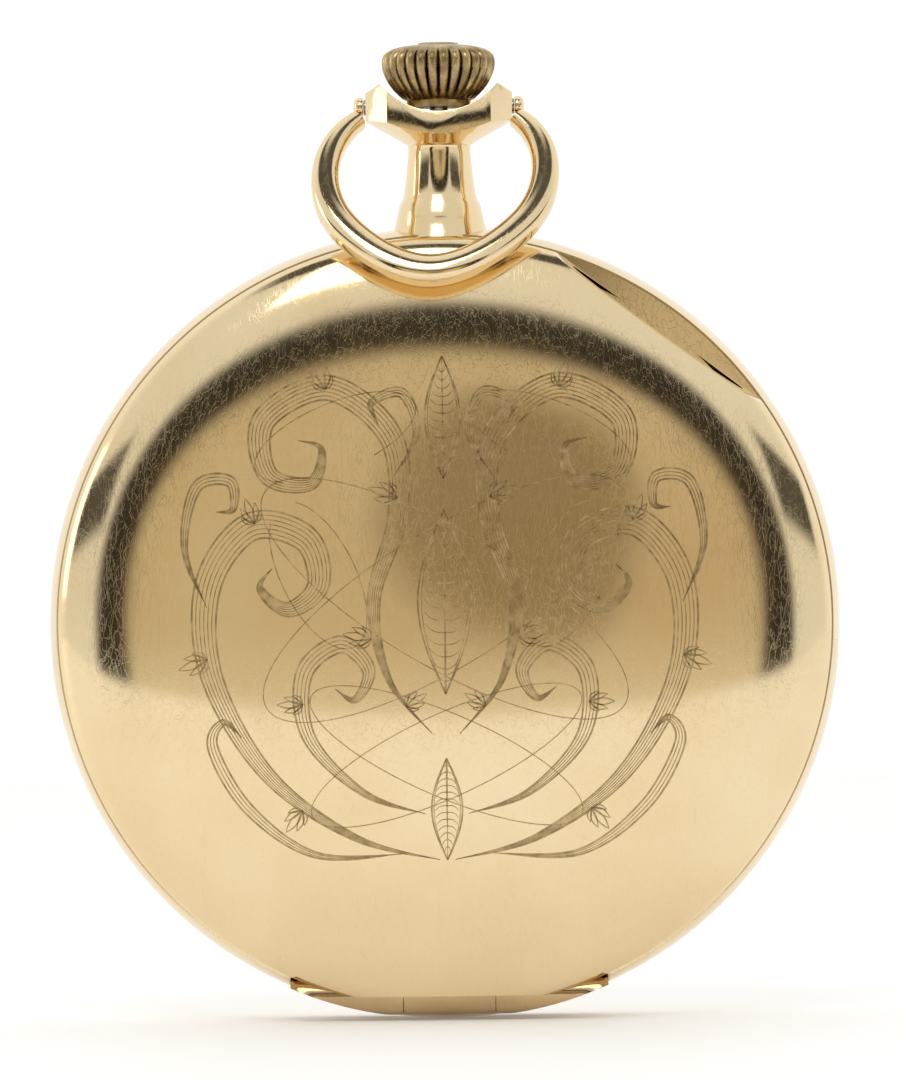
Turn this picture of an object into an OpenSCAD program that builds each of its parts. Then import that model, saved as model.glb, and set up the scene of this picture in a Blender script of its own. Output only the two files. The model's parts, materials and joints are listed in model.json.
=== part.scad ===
// Hunter pocket watch: hinged gold case, bow and crown over a jewelled lever movement.
// Millimetres. The origin is the middle of the case, +Z points to the pendant and
// the front cover faces -Y. Inside face() the drawing plane is the dial plane:
// x to the right, y to the pendant, z to the front; back_slab() counts toward the back.

/* [Case] */
// Diameter of the closed case
case_d = 52; // [51.6:0.1:52.4]
// Thickness of the case band between the two covers
band_t = 5.8; // [5.7:0.05:5.9]
// Height of each cover above the band
cover_h = 4.3; // [4.2:0.05:4.6]
// Thickness of the sheet gold in the covers
cover_t = 0.5; // [0.4:0.05:0.55]
// Half length of the hinge at the foot of the case
hinge_half = 10.4; // [9.5:0.1:10.8]
// Length of the middle hinge knuckle
knuckle_w = 6; // [5:0.1:7]

/* [Pendant, crown and bow] */
// Height of the bow screws above the case centre
bow_pivot_y = 33.9; // [33.85:0.05:34.1]
// Radius of the bow's middle line
bow_r = 7.3; // [7.2:0.05:7.5]
// Width of the bow wire
bow_w = 1.9; // [1.6:0.05:2]
// Forward lean of the hanging bow, in degrees
bow_lean = 33; // [31:1:40]
// Largest diameter of the fluted crown
crown_d = 7.5; // [7:0.1:7.6]
// Number of flutes on the crown
crown_flutes = 28; // [20:1:36]

/* [Movement] */
// Teeth of the mainspring barrel
barrel_teeth = 78; // [72:1:84]
// Leaves of the centre pinion
center_leaves = 12; // [10:1:14]
// Teeth of the centre wheel
center_teeth = 80; // [72:1:84]
// Teeth of the third wheel
third_teeth = 75; // [70:1:80]
// Teeth of the fourth wheel
fourth_teeth = 80; // [76:1:84]
// Diameter of the balance rim
balance_d = 14; // [13:0.1:14.2]
// Hour shown by the hands
shown_hour = 10; // [0:1:11]
// Minute shown by the hands
shown_minute = 9; // [0:1:59]
// Second shown by the small hand
shown_second = 36; // [0:1:59]

/* [Hidden] */
$fn = 48;

gold = [0.83, 0.68, 0.40];
brass = [0.70, 0.56, 0.30];
nickel = [0.78, 0.77, 0.74];
steel = [0.72, 0.73, 0.75];
blued = [0.10, 0.14, 0.38];
ruby = [0.70, 0.08, 0.16];
enamel = [0.95, 0.94, 0.90];

case_r = case_d / 2;
band_edge_r = case_r - 0.55;      // band radius where it meets the covers
band_face = band_t / 2;           // height of the band's faces
cover_r = case_r - 0.7;           // outer radius of a cover
cover_z = band_face + 0.1;        // where a closed cover starts
cover_wall = 0.5;                 // upright wall at the cover's rim
cover_steps = 14;
bore_r = 21.2;                    // bore of the band
ledge_z = 0.4;                    // ledge that the movement rests on
hinge_y = -(case_r - 1.6);        // hinge axes of the covers
hinge_z = band_face - 0.35;
hinge_r = 1.25;
hinge_pin_r = 0.45;
cuvette_hinge_y = -22.9;
cuvette_hinge_z = -3.45;
stem_r = 0.6;
bow_reach = 5.45;                 // pivot to the middle of the bow
bow_screw_r = 0.55;

// levels in the movement, counted from the middle of the case toward the back
plate_back = 0.4;
bridge_under = 2.6;
bridge_top = 3.8;
cock_under = 3.75;
cock_top = 4.6;
motion_floor = -0.7;              // floor of the motion work recess
dial_z = 1.5;                     // underside of the dial, toward the front
dial_t = 0.6;
pivot_r = 0.15;
arbor_r = 0.3;
jewel_r = 0.85;
mesh_gap = 0.03;                  // tips stand this much inside the pitch circle

// plan of the movement
center_p = [0, 0];
barrel_module = 0.22;
barrel_d0 = barrel_module * (barrel_teeth + center_leaves) / 2;
barrel_p = barrel_d0 * [cos(140), sin(140)];
fourth_p = [10.4, 0];
third_p = [5.65, 3.22];
third_leaves = 10;
fourth_leaves = 10;
escape_leaves = 8;
center_module = norm(third_p) * 2 / (center_teeth + third_leaves);
third_module = norm(fourth_p - third_p) * 2 / (third_teeth + fourth_leaves);
fourth_module = 0.12;
escape_p = fourth_p + fourth_module * (fourth_teeth + escape_leaves) / 2 * [cos(-100), sin(-100)];
balance_p = [3, -11.2];
fork_dir = (balance_p - escape_p) / norm(balance_p - escape_p);
fork_side = [-fork_dir.y, fork_dir.x];
pallet_p = escape_p + 3.95 * fork_dir;
escape_r = 3.35;
crown_wheel_p = [0, 12.2];
ratchet_teeth = 45;
crown_wheel_teeth = 31;
winding_module = norm(barrel_p - crown_wheel_p) * 2 / (ratchet_teeth + crown_wheel_teeth);
minute_p = [0, 3.6];
motion_module = 0.15;
setting_p = [0, 8.6];
setting_teeth = 31;
click_p = barrel_p + 7.4 * [cos(160), sin(160)];
cock_foot_p = [-8.6, -14.4];
pallet_foot_p = pallet_p + 4.3 * fork_side;
case_screw_angles = [-140, -38];
lock_angles = [60, 120];
lift_angles = [-162, -122];
spring_r = 23.4;

// angles of the hands: twelve is at the left, three under the pendant
minute_angle = 180 - 6 * shown_minute;
hour_angle = 180 - 30 * (shown_hour + shown_minute / 60);
second_angle = 180 - 6 * shown_second;

// ---- helpers ----
module face() rotate([90, 0, 0]) children();
module slab(z0, z1) translate([0, 0, z0]) linear_extrude(z1 - z0) children();
module back_slab(h0, h1) translate([0, 0, -h1]) linear_extrude(h1 - h0) children();
module disc(p, r, h0, h1) translate([p.x, p.y, -h1]) cylinder(h = h1 - h0, r = r);
module along_y(y0, y1) translate([0, y1, 0]) rotate([90, 0, 0]) linear_extrude(y1 - y0) children();
module along_x(x0, x1, y, z) translate([x0, y, z]) rotate([0, 90, 0]) rotate([0, 0, 90])
  linear_extrude(x1 - x0) children();
module spun_about_y() rotate([-90, 0, 0]) rotate_extrude() children();
module box(a, b) translate(a) cube(b - a);

// a bar with round ends from p to q
module bar2d(p, q, w) {
  translate(p) rotate(atan2(q.y - p.y, q.x - p.x)) translate([0, -w / 2]) square([norm(q - p), w]);
  translate(p) circle(d = w);
  translate(q) circle(d = w);
}

function arc_points(r, a0, a1) = [for (i = [0:12]) let (a = a0 + (a1 - a0) * i / 12) r * [cos(a), sin(a)]];

module ring2d(r0, r1) difference() {
  circle(r = r1);
  circle(r = r0);
}

// a curved strip from angle a0 to a1
module arc2d(r0, r1, a0, a1) polygon(concat(arc_points(r1, a0, a1), arc_points(r0, a1, a0)));

// outline of a gear: four points a tooth
function gear_points(teeth, tip, root) = [for (i = [0:teeth - 1], k = [0:3])
  let (a = 360 / teeth * (i + [-0.34, -0.13, 0.13, 0.34][k]), r = (k == 0 || k == 3) ? root : tip)
  r * [cos(a), sin(a)]];

module gear2d(teeth, module_mm) polygon(gear_points(teeth, module_mm * teeth / 2 - mesh_gap,
  module_mm * (teeth / 2 - 1.3) - mesh_gap));

// a spoked wheel
module wheel2d(teeth, module_mm, spokes, hub) {
  rim = module_mm * (teeth / 2 - 1.3) - 0.5;
  difference() {
    gear2d(teeth, module_mm);
    difference() {
      circle(r = rim);
      circle(r = hub);
      for (i = [0:spokes - 1]) rotate(360 / spokes * i) translate([0, -0.25]) square([rim + 0.2, 0.5]);
    }
  }
}

// ---- case ----
// outer skin of the band, a convex belt
function belt_points() = [for (i = [0:7]) let (t = 2 * i / 7 - 1)
  [case_r - (case_r - band_edge_r) * t * t, band_face * t]];

// the round space that one row of knuckles turns in
module hinge_space(side, x0, x1, r) along_x(x0, x1, hinge_y, side * hinge_z) circle(r = r);

module case_band() color(gold) face() {
  difference() {
    union() {
      difference() {
        rotate_extrude() polygon(concat(
          [[22.1, -band_face], [22.1, -1.6], [bore_r, -1.6], [bore_r, ledge_z], [21.75, ledge_z],
           [21.75, 2.2], [22.1, 2.2], [22.1, band_face]],
          [for (i = [7:-1:0]) belt_points()[i]]));
        for (side = [-1, 1]) {
          hinge_space(side, -hinge_half - 0.1, hinge_half + 0.1, hinge_r + 0.12);
          box([-7, -case_r - 1, side > 0 ? hinge_z : -3.5], [7, hinge_y, side > 0 ? 3.5 : -hinge_z]);
        }
      }
      // the middle knuckles, trimmed to the round of the case
      intersection() {
        union() {
          for (side = [-1, 1]) hinge_space(side, -knuckle_w / 2, knuckle_w / 2, hinge_r);
          box([-knuckle_w / 2, -case_r, -1.4], [knuckle_w / 2, hinge_y + 1.5, 1.4]);
        }
        translate([0, 0, -5]) cylinder(h = 10, r = case_r + 0.05);
      }
      // two ears for the inner cover's hinge
      for (x = [-2.9, 1.7])
        box([x, cuvette_hinge_y - 0.35, cuvette_hinge_z - 0.35], [x + 1.2, cuvette_hinge_y + 0.35, -2.5]);
    }
    for (side = [-1, 1]) hinge_space(side, -9, 9, hinge_pin_r);
    along_x(-3, 3, cuvette_hinge_y, cuvette_hinge_z) circle(r = 0.16);
    // way for the stem
    along_y(20, case_r + 1) circle(r = 1.2);
    // pockets for the two cover springs
    for (a = [lock_angles, lift_angles])
      slab(0.9, band_face + 0.1) arc2d(spring_r - 0.65, spring_r + 0.65, a[0] - 3, a[1] + 3);
    for (a = [lock_angles[0], lift_angles[0]])
      slab(0.3, 1) rotate(a) translate([spring_r, 0]) circle(r = 0.3);
  }
}

// the cover's section, from rim to crown, at a distance inside its outer skin
function cover_dome(inset) = [for (i = [0:cover_steps]) let (a = 90 * i / cover_steps)
  [(cover_r - inset) * cos(a), cover_z + cover_wall + (cover_h - cover_wall - 0.1 - inset) * sin(a)]];

module cover_shell() rotate_extrude() polygon(concat(
  [[cover_r - 1.2, cover_z], [cover_r, cover_z]], cover_dome(0),
  [for (i = [cover_steps:-1:0]) cover_dome(cover_t)[i]],
  [[cover_r - cover_t, cover_z + 0.45], [cover_r - 1.2, cover_z + 0.3]]));

// one cover with its two outer knuckles; side is 1 at the front and -1 at the back
module cover(side) {
  difference() {
    union() {
      difference() {
        if (side > 0) cover_shell();
        else mirror([0, 0, 1]) cover_shell();
        box([-9.5, -case_r - 1, -9], [9.5, hinge_y, 9]);
      }
      intersection() {
        union() for (x = [[-hinge_half, -knuckle_w / 2 - 0.05], [knuckle_w / 2 + 0.05, hinge_half]])
          hinge_space(side, x[0], x[1], hinge_r);
        translate([0, 0, -5]) cylinder(h = 10, r = case_r + 0.05);
      }
    }
    hinge_space(side, -knuckle_w / 2 - 0.05, knuckle_w / 2 + 0.05, hinge_r + 0.12);
    hinge_space(side, -9, 9, hinge_pin_r + 0.03);
  }
}

module front_lid() color(gold) face() cover(1);
module back_lid() color(gold) face() cover(-1);

module hinge_pins() color(steel) face() {
  for (side = [-1, 1]) hinge_space(side, -7.8, 7.8, hinge_pin_r);
  along_x(-2.9, 2.9, cuvette_hinge_y, cuvette_hinge_z) circle(r = 0.16);
}

// inner dust cover over the movement
module cuvette() color(gold) face() difference() {
  union() {
    mirror([0, 0, 1]) rotate_extrude() polygon(concat(
      [[21.95, 3.0], [22.5, 3.0], [22.5, 3.7]],
      [for (i = [1:6]) let (a = 90 * i / 6) [19.5 + 3 * cos(a), 3.7 + 1.3 * sin(a)]],
      [[10, 5.3], [0, 5.45], [0, 5.1], [10, 4.95], [19.4, 4.65], [21.6, 4.1], [21.95, 3.6]]));
    box([-1.5, cuvette_hinge_y, -3.85], [1.5, -22, -3.25]);
    along_x(-1.5, 1.5, cuvette_hinge_y, cuvette_hinge_z) circle(r = 0.4);
  }
  along_x(-1.6, 1.6, cuvette_hinge_y, cuvette_hinge_z) circle(r = 0.18);
}

// ring that holds the crystal, snapped into the front of the band
module bezel() color(gold) face() rotate_extrude() polygon([[20.5, 2.25], [21.95, 2.25],
  [21.95, 3.3], [21.75, 3.6], [21.2, 3.75], [20.5, 3.6], [20.5, 3.2], [21.1, 3.2], [21.1, 2.75],
  [20.5, 2.75]]);

module crystal() color([0.9, 0.95, 1, 0.3]) face() rotate_extrude() polygon(concat(
  [[0, 4.35]], [for (i = [1:8]) let (r = 21 * i / 8) [r, 4.35 - 1.55 * pow(i / 8, 2)]],
  [[21.05, 2.8], [21.05, 3.18], [20.5, 3.18]],
  [for (i = [7:-1:0]) let (r = 20.5 * i / 8) [r, 4.8 - 1.5 * pow(i / 8, 2)]]));

module spring_strip(a, nose_angle) {
  slab(1.0, 2.75) arc2d(spring_r - 0.2, spring_r + 0.2, a[0], a[1]);
  difference() {
    slab(1.0, 2.75) rotate(a[0]) translate([spring_r, 0]) circle(r = 0.45);
    slab(0.9, 2.8) rotate(a[0]) translate([spring_r, 0]) circle(r = 0.3);
  }
  slab(2.6, 3.25) rotate(nose_angle) translate([spring_r - 0.2, -0.9]) square([0.5, 1.8]);
}

module lock_spring() color(steel) face() difference() {
  spring_strip(lock_angles, lock_angles[1] - 2.2);
  slab(0.9, 2.8) rotate(lock_angles[0]) translate([spring_r, 0]) circle(r = 0.3);
}

module lift_spring() color(steel) face() difference() {
  spring_strip(lift_angles, lift_angles[1] - 2.2);
  slab(0.9, 2.8) rotate(lift_angles[0]) translate([spring_r, 0]) circle(r = 0.3);
}

module case_spring_screws() color(steel) face()
  for (a = [lock_angles[0], lift_angles[0]]) rotate(a) translate([spring_r, 0]) {
    slab(0.4, 2.8) circle(r = 0.28);
    slab(2.77, 3.05) circle(r = 0.48);
  }

// neck and faceted head that carry the crown and the bow
module pendant() color(gold) face() difference() {
  union() {
    spun_about_y() polygon([[0, 24.6], [3.05, 24.6], [3.05, 25.75], [2.9, 26.3], [2.65, 27.6],
      [2.5, 27.7], [2.03, 31.35], [2.35, 32], [0, 32]]);
    intersection() {
      translate([0, 0, -4]) linear_extrude(8) polygon([[-1.95, 31.3], [1.95, 31.3], [3.1, 31.95],
        [4.78, 32.85], [4.82, 34.75], [3.85, 35.35], [-3.85, 35.35], [-4.82, 34.75],
        [-4.78, 32.85], [-3.1, 31.95]]);
      along_y(31.2, 35.5) polygon([[-5, -1.6], [-3.4, -3.4], [3.4, -3.4], [5, -1.6], [5, 1.6],
        [3.4, 3.4], [-3.4, 3.4], [-5, 1.6]]);
    }
  }
  translate([0, 0, -5]) cylinder(h = 10, r = case_r);
  // seat of the crown, open to the front and the back
  spun_about_y() polygon([[0, 33.3], [2.4, 33.3], [2.4, 33.9], [3, 34.5], [3.75, 35.3], [3.75, 36], [0, 36]]);
  translate([0, 38.46, -6]) cylinder(h = 12, r = 4.96);
  along_y(24, 36) circle(r = 1.5);
  along_x(-5, 5, bow_pivot_y, 0) circle(r = bow_screw_r);
}

module pendant_sleeve() color(steel) face() difference() {
  along_y(26.4, 33.2) circle(r = 1.5);
  along_y(26, 34) circle(r = stem_r + 0.06);
}

// ---- bow and crown ----
// the bow lies in its own plane: s runs from the pivot to the tip
module bow2d() difference() {
  translate([0, -bow_reach]) union() {
    ring2d(bow_r - bow_w / 2, bow_r + bow_w / 2);
    translate([-1.2, -bow_r - bow_w / 2 - 0.12]) square([2.4, 0.6]);
  }
  translate([-4.92, -4.2]) square([9.84, 16]);
  translate([-9, 1.5]) square([18, 10]);
}

module bow() color(gold) face() translate([0, bow_pivot_y, 0]) rotate([-bow_lean, 0, 0]) difference() {
  union() {
    translate([0, 0, -0.9]) linear_extrude(1.8) bow2d();
    for (x = [-6.1, 4.92]) along_x(x, x + 1.18, 0, 0) circle(r = 1.3);
  }
  along_x(-9, 9, 0, 0) circle(r = bow_screw_r + 0.03);
  // flats under the screw heads
  for (x = [-9, 6.1]) along_x(x, x + 2.9, 0, 0) circle(r = 1.05);
}

module bow_screws() color(steel) face() for (side = [-1, 1]) {
  from = side > 0 ? 3.35 : -6.15;
  head = side > 0 ? 6.15 : -6.6;
  along_x(from, from + 2.8, bow_pivot_y, 0) circle(r = bow_screw_r);
  along_x(head, head + 0.45, bow_pivot_y, 0) circle(r = 0.95);
}

function crown_section() = [[stem_r, 33.85], [2.1, 33.85], [2.1, 34.3], [2.35, 34.45], [2.9, 35],
  [3.35, 35.6], [3.65, 36.2], [crown_d / 2, 36.75], [3.62, 37.3], [3.1, 37.7], [2.1, 37.95],
  [1.3, 38], [1.3, 38.1], [0, 38.1], [0, 37], [stem_r, 37]];

module crown() color(gold) face() intersection() {
  spun_about_y() polygon(crown_section());
  along_y(33, 39) polygon([for (i = [0:crown_flutes - 1], k = [0:2])
    (k == 0 ? crown_d / 2 - 0.35 : crown_d / 2 + 0.02) *
    [cos(360 / crown_flutes * (i + k / 3)), sin(360 / crown_flutes * (i + k / 3))]]);
}

// ---- winding and setting ----
module winding_stem() color(steel) face() {
  along_y(17.6, 20.8) square(0.86, center = true);
  along_y(20.8, 37) circle(r = stem_r);
}

module winding_arbor() color(steel) face() difference() {
  union() {
    along_y(10.6, 11) circle(r = 0.5);
    along_y(11, 15.3) square(1.2, center = true);
    along_y(15.3, 20.3) circle(r = 0.86);
    along_y(17.25, 17.6) circle(r = 1.15);
  }
  along_y(17.05, 21) square(0.92, center = true);
}

module winding_pinion() color(steel) face() along_y(15.3, 17.1) difference() {
  polygon(gear_points(14, 1.44, 1.12));
  circle(r = 0.89);
}

module clutch_wheel() color(steel) face() difference() {
  union() {
    along_y(12.4, 14.9) circle(r = 0.95);
    along_y(14.1, 14.9) polygon(gear_points(12, 1.35, 1.1));
    along_y(12.4, 13.3) polygon(gear_points(12, 1.35, 1.1));
  }
  along_y(12, 15) square(1.25, center = true);
}

module setting_lever() color(steel) face() difference() {
  slab(0.95, 1.3) {
    bar2d([4.1, 17.4], [1.9, 18.3], 0.7);
    bar2d([4.1, 17.4], [4.7, 14.6], 0.9);
    translate([4.1, 17.4]) circle(r = 0.9);
  }
  slab(0.9, 1.4) translate([4.1, 17.4]) circle(r = 0.42);
}

module clutch_lever() color(steel) face() difference() {
  slab(0.95, 1.3) {
    bar2d([6.6, 10.6], [1.45, 13.7], 0.45);
    bar2d([6.6, 10.6], [6.3, 13.4], 0.6);
    translate([6.6, 10.6]) circle(r = 0.9);
  }
  slab(0.9, 1.4) translate([6.6, 10.6]) circle(r = 0.42);
}

module setting_wheel() color(steel) face() slab(-motion_floor + 0.05, -motion_floor + 0.35)
  translate(setting_p) rotate(180 / setting_teeth) difference() {
    gear2d(setting_teeth, motion_module);
    circle(r = 0.42);
  }

module transmission_wheel() color(steel) face() {
  translate([crown_wheel_p.x, crown_wheel_p.y, -2.1]) linear_extrude(0.5) polygon(gear_points(44, 4.3, 3.95));
  disc(crown_wheel_p, 0.9, 2.1, bridge_top + 0.05);
  back_slab(bridge_top + 0.05, 4.25) translate(crown_wheel_p) square(1.2, center = true);
}

module crown_wheel() color(steel) face() back_slab(bridge_top + 0.05, 4.25) translate(crown_wheel_p)
  difference() {
    gear2d(crown_wheel_teeth, winding_module);
    square(1.21, center = true);
  }

module barrel_arbor() color(steel) face() difference() {
  union() {
    disc(barrel_p, 0.9, -1.1, bridge_top + 0.05);
    disc(barrel_p, 2, -0.13, 1.13);
    back_slab(bridge_top + 0.05, 4.25) translate(barrel_p) square(1.2, center = true);
  }
  disc(barrel_p, 0.35, 3, 4.3);
}

module ratchet_wheel() color(steel) face() back_slab(bridge_top + 0.05, 4.25) translate(barrel_p)
  difference() {
    gear2d(ratchet_teeth, winding_module);
    square(1.21, center = true);
  }

module ratchet_screw() color(blued) face() difference() {
  union() {
    disc(barrel_p, 0.35, 3, 4.3);
    disc(barrel_p, 1.5, 4.26, 4.5);
  }
  back_slab(4.4, 4.6) translate(barrel_p) square([3.4, 0.25], center = true);
}

module click() color(steel) face() difference() {
  back_slab(bridge_top + 0.05, 4.2) {
    translate(click_p) circle(r = 0.95);
    bar2d(click_p, barrel_p + 5.95 * [cos(184), sin(184)], 0.5);
  }
  disc(click_p, 0.42, 3.8, 4.3);
}

module click_spring() color(steel) face() back_slab(bridge_top, 4.05) translate(barrel_p) {
  arc2d(8.75, 8.95, 165, 205);
  rotate(206) translate([8.85, 0]) circle(r = 0.7);
}

// ---- plates and bridges ----
// where the stem, its pinion and its clutch run, between the plates
module stem_space() {
  box([-1.75, 11, -2.2], [1.75, 17.7, 1.6]);
  along_y(10.4, 11.2) circle(r = 0.53);
  along_y(17.6, 22) circle(r = 0.89);
}

module plate_body() difference() {
  union() {
    slab(-plate_back, ledge_z) circle(r = 21);
    slab(ledge_z, dial_z) circle(r = 21.55);
  }
  // pocket of the barrel
  disc(barrel_p, 8.75, -0.45, 1);
  disc(barrel_p, 0.93, -2, 1);
  // motion work and keyless work, open to the dial
  slab(-motion_floor, 2) {
    circle(r = 3.2);
    translate(minute_p) circle(r = 2.95);
    translate(setting_p) circle(r = 2.6);
    polygon([[0.5, 10], [8, 9.2], [8, 14.5], [6, 19.3], [0.5, 19.3]]);
  }
  disc(center_p, 0.55, -2, 1);
  stem_space();
  for (p = [third_p, escape_p, pallet_p, balance_p]) disc(p, jewel_r, -0.2, 1);
  disc(fourth_p, jewel_r, -0.2, 1);
  disc(fourth_p, 0.4, -2, 1);
  for (a = case_screw_angles) rotate(a) disc([20.2, 0], 0.45, -0.3, 1);
}

module main_plate() color(brass) face() {
  plate_body();
  // posts for the levers and wheels on the dial side
  for (p = [setting_p, [4.1, 17.4], [6.6, 10.6]]) disc(p, 0.38, -1.3, motion_floor + 0.05);
  disc(minute_p, 0.28, -1.42, motion_floor + 0.05);
}

module barrel_bridge_plan() intersection() {
  circle(r = 20.4);
  polygon([[11.8, 17.8], [5.1, 9.6], [2, 4.3], [-3, 3], [-4.2, -2.3], [-5.8, -5], [-18.5, -9.6],
    [-26, 0], [-21, 19], [0, 25]]);
}

module train_bridge_plan() difference() {
  intersection() {
    circle(r = 20.4);
    polygon([[12.3, 17.6], [5.5, 9.2], [2.5, 3.8], [-2.5, 2.6], [-3.6, -2.3], [0, -6], [10.8, -8.6],
      [18.7, -10.6], [25, 0], [22, 13]]);
  }
  translate(balance_p) circle(r = balance_d / 2 + 1);
}

module barrel_bridge() color(nickel) face() difference() {
  union() {
    back_slab(bridge_under, bridge_top) barrel_bridge_plan();
    back_slab(plate_back, bridge_under) difference() {
      intersection() {
        barrel_bridge_plan();
        ring2d(13, 20.4);
      }
      translate(barrel_p) circle(r = 8.85);
      translate(crown_wheel_p) circle(r = 4.6);
      translate(third_p) circle(r = 5.3);
      translate([0, 20]) square([3.4, 6], center = true);
    }
    disc(click_p, 0.38, bridge_top, 4.2);
  }
  disc(barrel_p, 0.93, 2, 5);
  disc(crown_wheel_p, 0.93, 2, 5);
  stem_space();
  for (p = barrel_bridge_screws) disc(p, 0.4, 1, 5);
}

module train_bridge() color(nickel) face() difference() {
  union() {
    back_slab(bridge_under, bridge_top) train_bridge_plan();
    back_slab(plate_back, bridge_under) intersection() {
      train_bridge_plan();
      ring2d(15.9, 20.4);
    }
  }
  for (p = [third_p, fourth_p, escape_p, center_p]) {
    disc(p, jewel_r, bridge_top - 0.6, 5);
    disc(p, 0.4, 2, 5);
  }
  for (p = train_bridge_screws) disc(p, 0.4, 1, 5);
}

module pallet_cock() color(nickel) face() difference() {
  union() {
    back_slab(1.75, 2.4) bar2d(pallet_p, pallet_foot_p, 2);
    disc(pallet_foot_p, 1.2, plate_back, 2.4);
  }
  disc(pallet_p, jewel_r, 2.0, 3);
  disc(pallet_p, 0.35, 1, 3);
  disc(pallet_foot_p, 0.4, 1, 3);
}

module balance_cock() color(nickel) face() difference() {
  union() {
    back_slab(cock_under, cock_top) {
      bar2d(cock_foot_p, balance_p, 3);
      translate(balance_p) circle(r = 2.2);
      translate(cock_foot_p) circle(r = 2.7);
    }
    back_slab(plate_back, cock_under + 0.1) translate(cock_foot_p) circle(r = 2.7);
  }
  disc(balance_p, jewel_r, cock_top - 0.5, 5);
  disc(balance_p, 0.45, 3, 5);
  disc(cock_foot_p, 0.4, 2, 6);
  disc(cock_foot_p, 0.95, cock_top - 0.3, 6);
}

// screw places on the bridges
barrel_bridge_screws = [[-19, 0.2], [-12.6, 14.6], [6.2, 16.8]];
train_bridge_screws = [[17.9, -5.4], [17.2, 6.6]];

module screw_at(p, h0, h1, r) difference() {
  union() {
    disc(p, r, h0, h1);
    disc(p, 2.2 * r, h1, h1 + 0.3);
  }
  back_slab(h1 + 0.16, h1 + 0.4) translate(p) rotate(25) square([6 * r, 0.2], center = true);
}

module plate_screws() color(blued) face() {
  for (p = concat(barrel_bridge_screws, train_bridge_screws)) screw_at(p, 1, bridge_top, 0.4);
  screw_at(cock_foot_p, 2, cock_top - 0.3, 0.4);
  screw_at(pallet_foot_p, 1, 2.4, 0.4);
}

module case_screws() color(blued) face() for (a = case_screw_angles) rotate(a) {
  disc([20.2, 0], 0.45, -0.3, 1.62);
  difference() {
    disc([20.2, 0], 1.5, 1.62, 2.1);
    back_slab(1.9, 2.2) translate([20.2, 0]) square([3.4, 0.25], center = true);
  }
}

// ---- going train ----
module pinion_at(p, leaves, module_mm, h0, h1) back_slab(h0, h1) translate(p) gear2d(leaves, module_mm);

module wheel_at(p, teeth, module_mm, h0, h1, spokes = 5, hub = 1.2) back_slab(h0, h1) translate(p)
  wheel2d(teeth, module_mm, spokes, hub);

// arbor with a pivot at each end
module arbor_at(p, h0 = 0.45, h1 = 3.15) {
  disc(p, arbor_r, h0, h1);
  disc(p, pivot_r, h0 - 0.6, h1 + 0.5);
}

module barrel() color(brass) face() difference() {
  union() {
    disc(barrel_p, 8.1, -0.4, 1.45);
    back_slab(0.9, 1.35) translate(barrel_p) gear2d(barrel_teeth, barrel_module);
  }
  disc(barrel_p, 7.75, -0.18, 2);
  disc(barrel_p, 0.95, -1, 2);
}

module barrel_cover() color(brass) face() difference() {
  disc(barrel_p, 7.75, 1.2, 1.45);
  disc(barrel_p, 0.95, 1, 2);
}

// a flat spiral strip from r0 to r1
function spiral(r0, r1, turns, steps) = [for (i = [0:turns * steps])
  let (a = 360 * i / steps, r = r0 + (r1 - r0) * i / (turns * steps)) r * [cos(a), sin(a)]];
function reversed(v) = [for (i = [len(v) - 1:-1:0]) v[i]];

module spiral_strip(r0, r1, turns, steps, w) polygon(concat(
  spiral(r0 + w / 2, r1 + w / 2, turns, steps), reversed(spiral(r0 - w / 2, r1 - w / 2, turns, steps))));

module mainspring() color(steel) face() back_slab(-0.1, 1.1) translate(barrel_p)
  spiral_strip(2.35, 7.5, 8, 16, 0.26);

module center_wheel() color(brass) face() {
  disc(center_p, 0.5, -3, bridge_under - 0.05);
  disc(center_p, 0.25, bridge_under - 0.05, 3.6);
  pinion_at(center_p, center_leaves, barrel_module, 0.88, 1.5);
  wheel_at(center_p, center_teeth, center_module, 1.75, 1.98);
}

module third_wheel() color(brass) face() {
  arbor_at(third_p);
  pinion_at(third_p, third_leaves, center_module, 1.68, 2.1);
  wheel_at(third_p, third_teeth, third_module, 0.55, 0.77);
}

module fourth_wheel() color(brass) face() {
  arbor_at(fourth_p);
  disc(fourth_p, 0.2, -2.35, 0.5);
  pinion_at(fourth_p, fourth_leaves, third_module, 0.47, 0.95);
  wheel_at(fourth_p, fourth_teeth, fourth_module, 1.36, 1.57);
}

module escape_wheel() color(steel) face() {
  arbor_at(escape_p);
  pinion_at(escape_p, escape_leaves, fourth_module, 1.27, 1.66);
  back_slab(0.9, 1.1) translate(escape_p) difference() {
    polygon([for (i = [0:14], k = [0:3]) let (a = 24 * i + [0, 3, 6.5, 14][k])
      [escape_r - 0.75, escape_r - 0.05, escape_r, escape_r - 0.8][k] * [cos(a), sin(a)]]);
    difference() {
      circle(r = 2.2);
      circle(r = 0.6);
      for (i = [0:3]) rotate(90 * i) translate([0, -0.15]) square([2.4, 0.3]);
    }
  }
}

module pallet_fork() color(steel) face() {
  arbor_at(pallet_p, 0.45, 1.7);
  back_slab(1.2, 1.42) {
    bar2d(pallet_p, pallet_p + 3.1 * fork_dir, 0.42);
    for (s = [-1, 1]) {
      bar2d(pallet_p + 3 * fork_dir, pallet_p + 3.62 * fork_dir + s * 0.36 * fork_side, 0.24);
      bar2d(pallet_p, pallet_p - 0.75 * fork_dir + s * 2.1 * fork_side, 0.55);
    }
    translate(pallet_p) circle(r = 0.6);
  }
}

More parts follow.
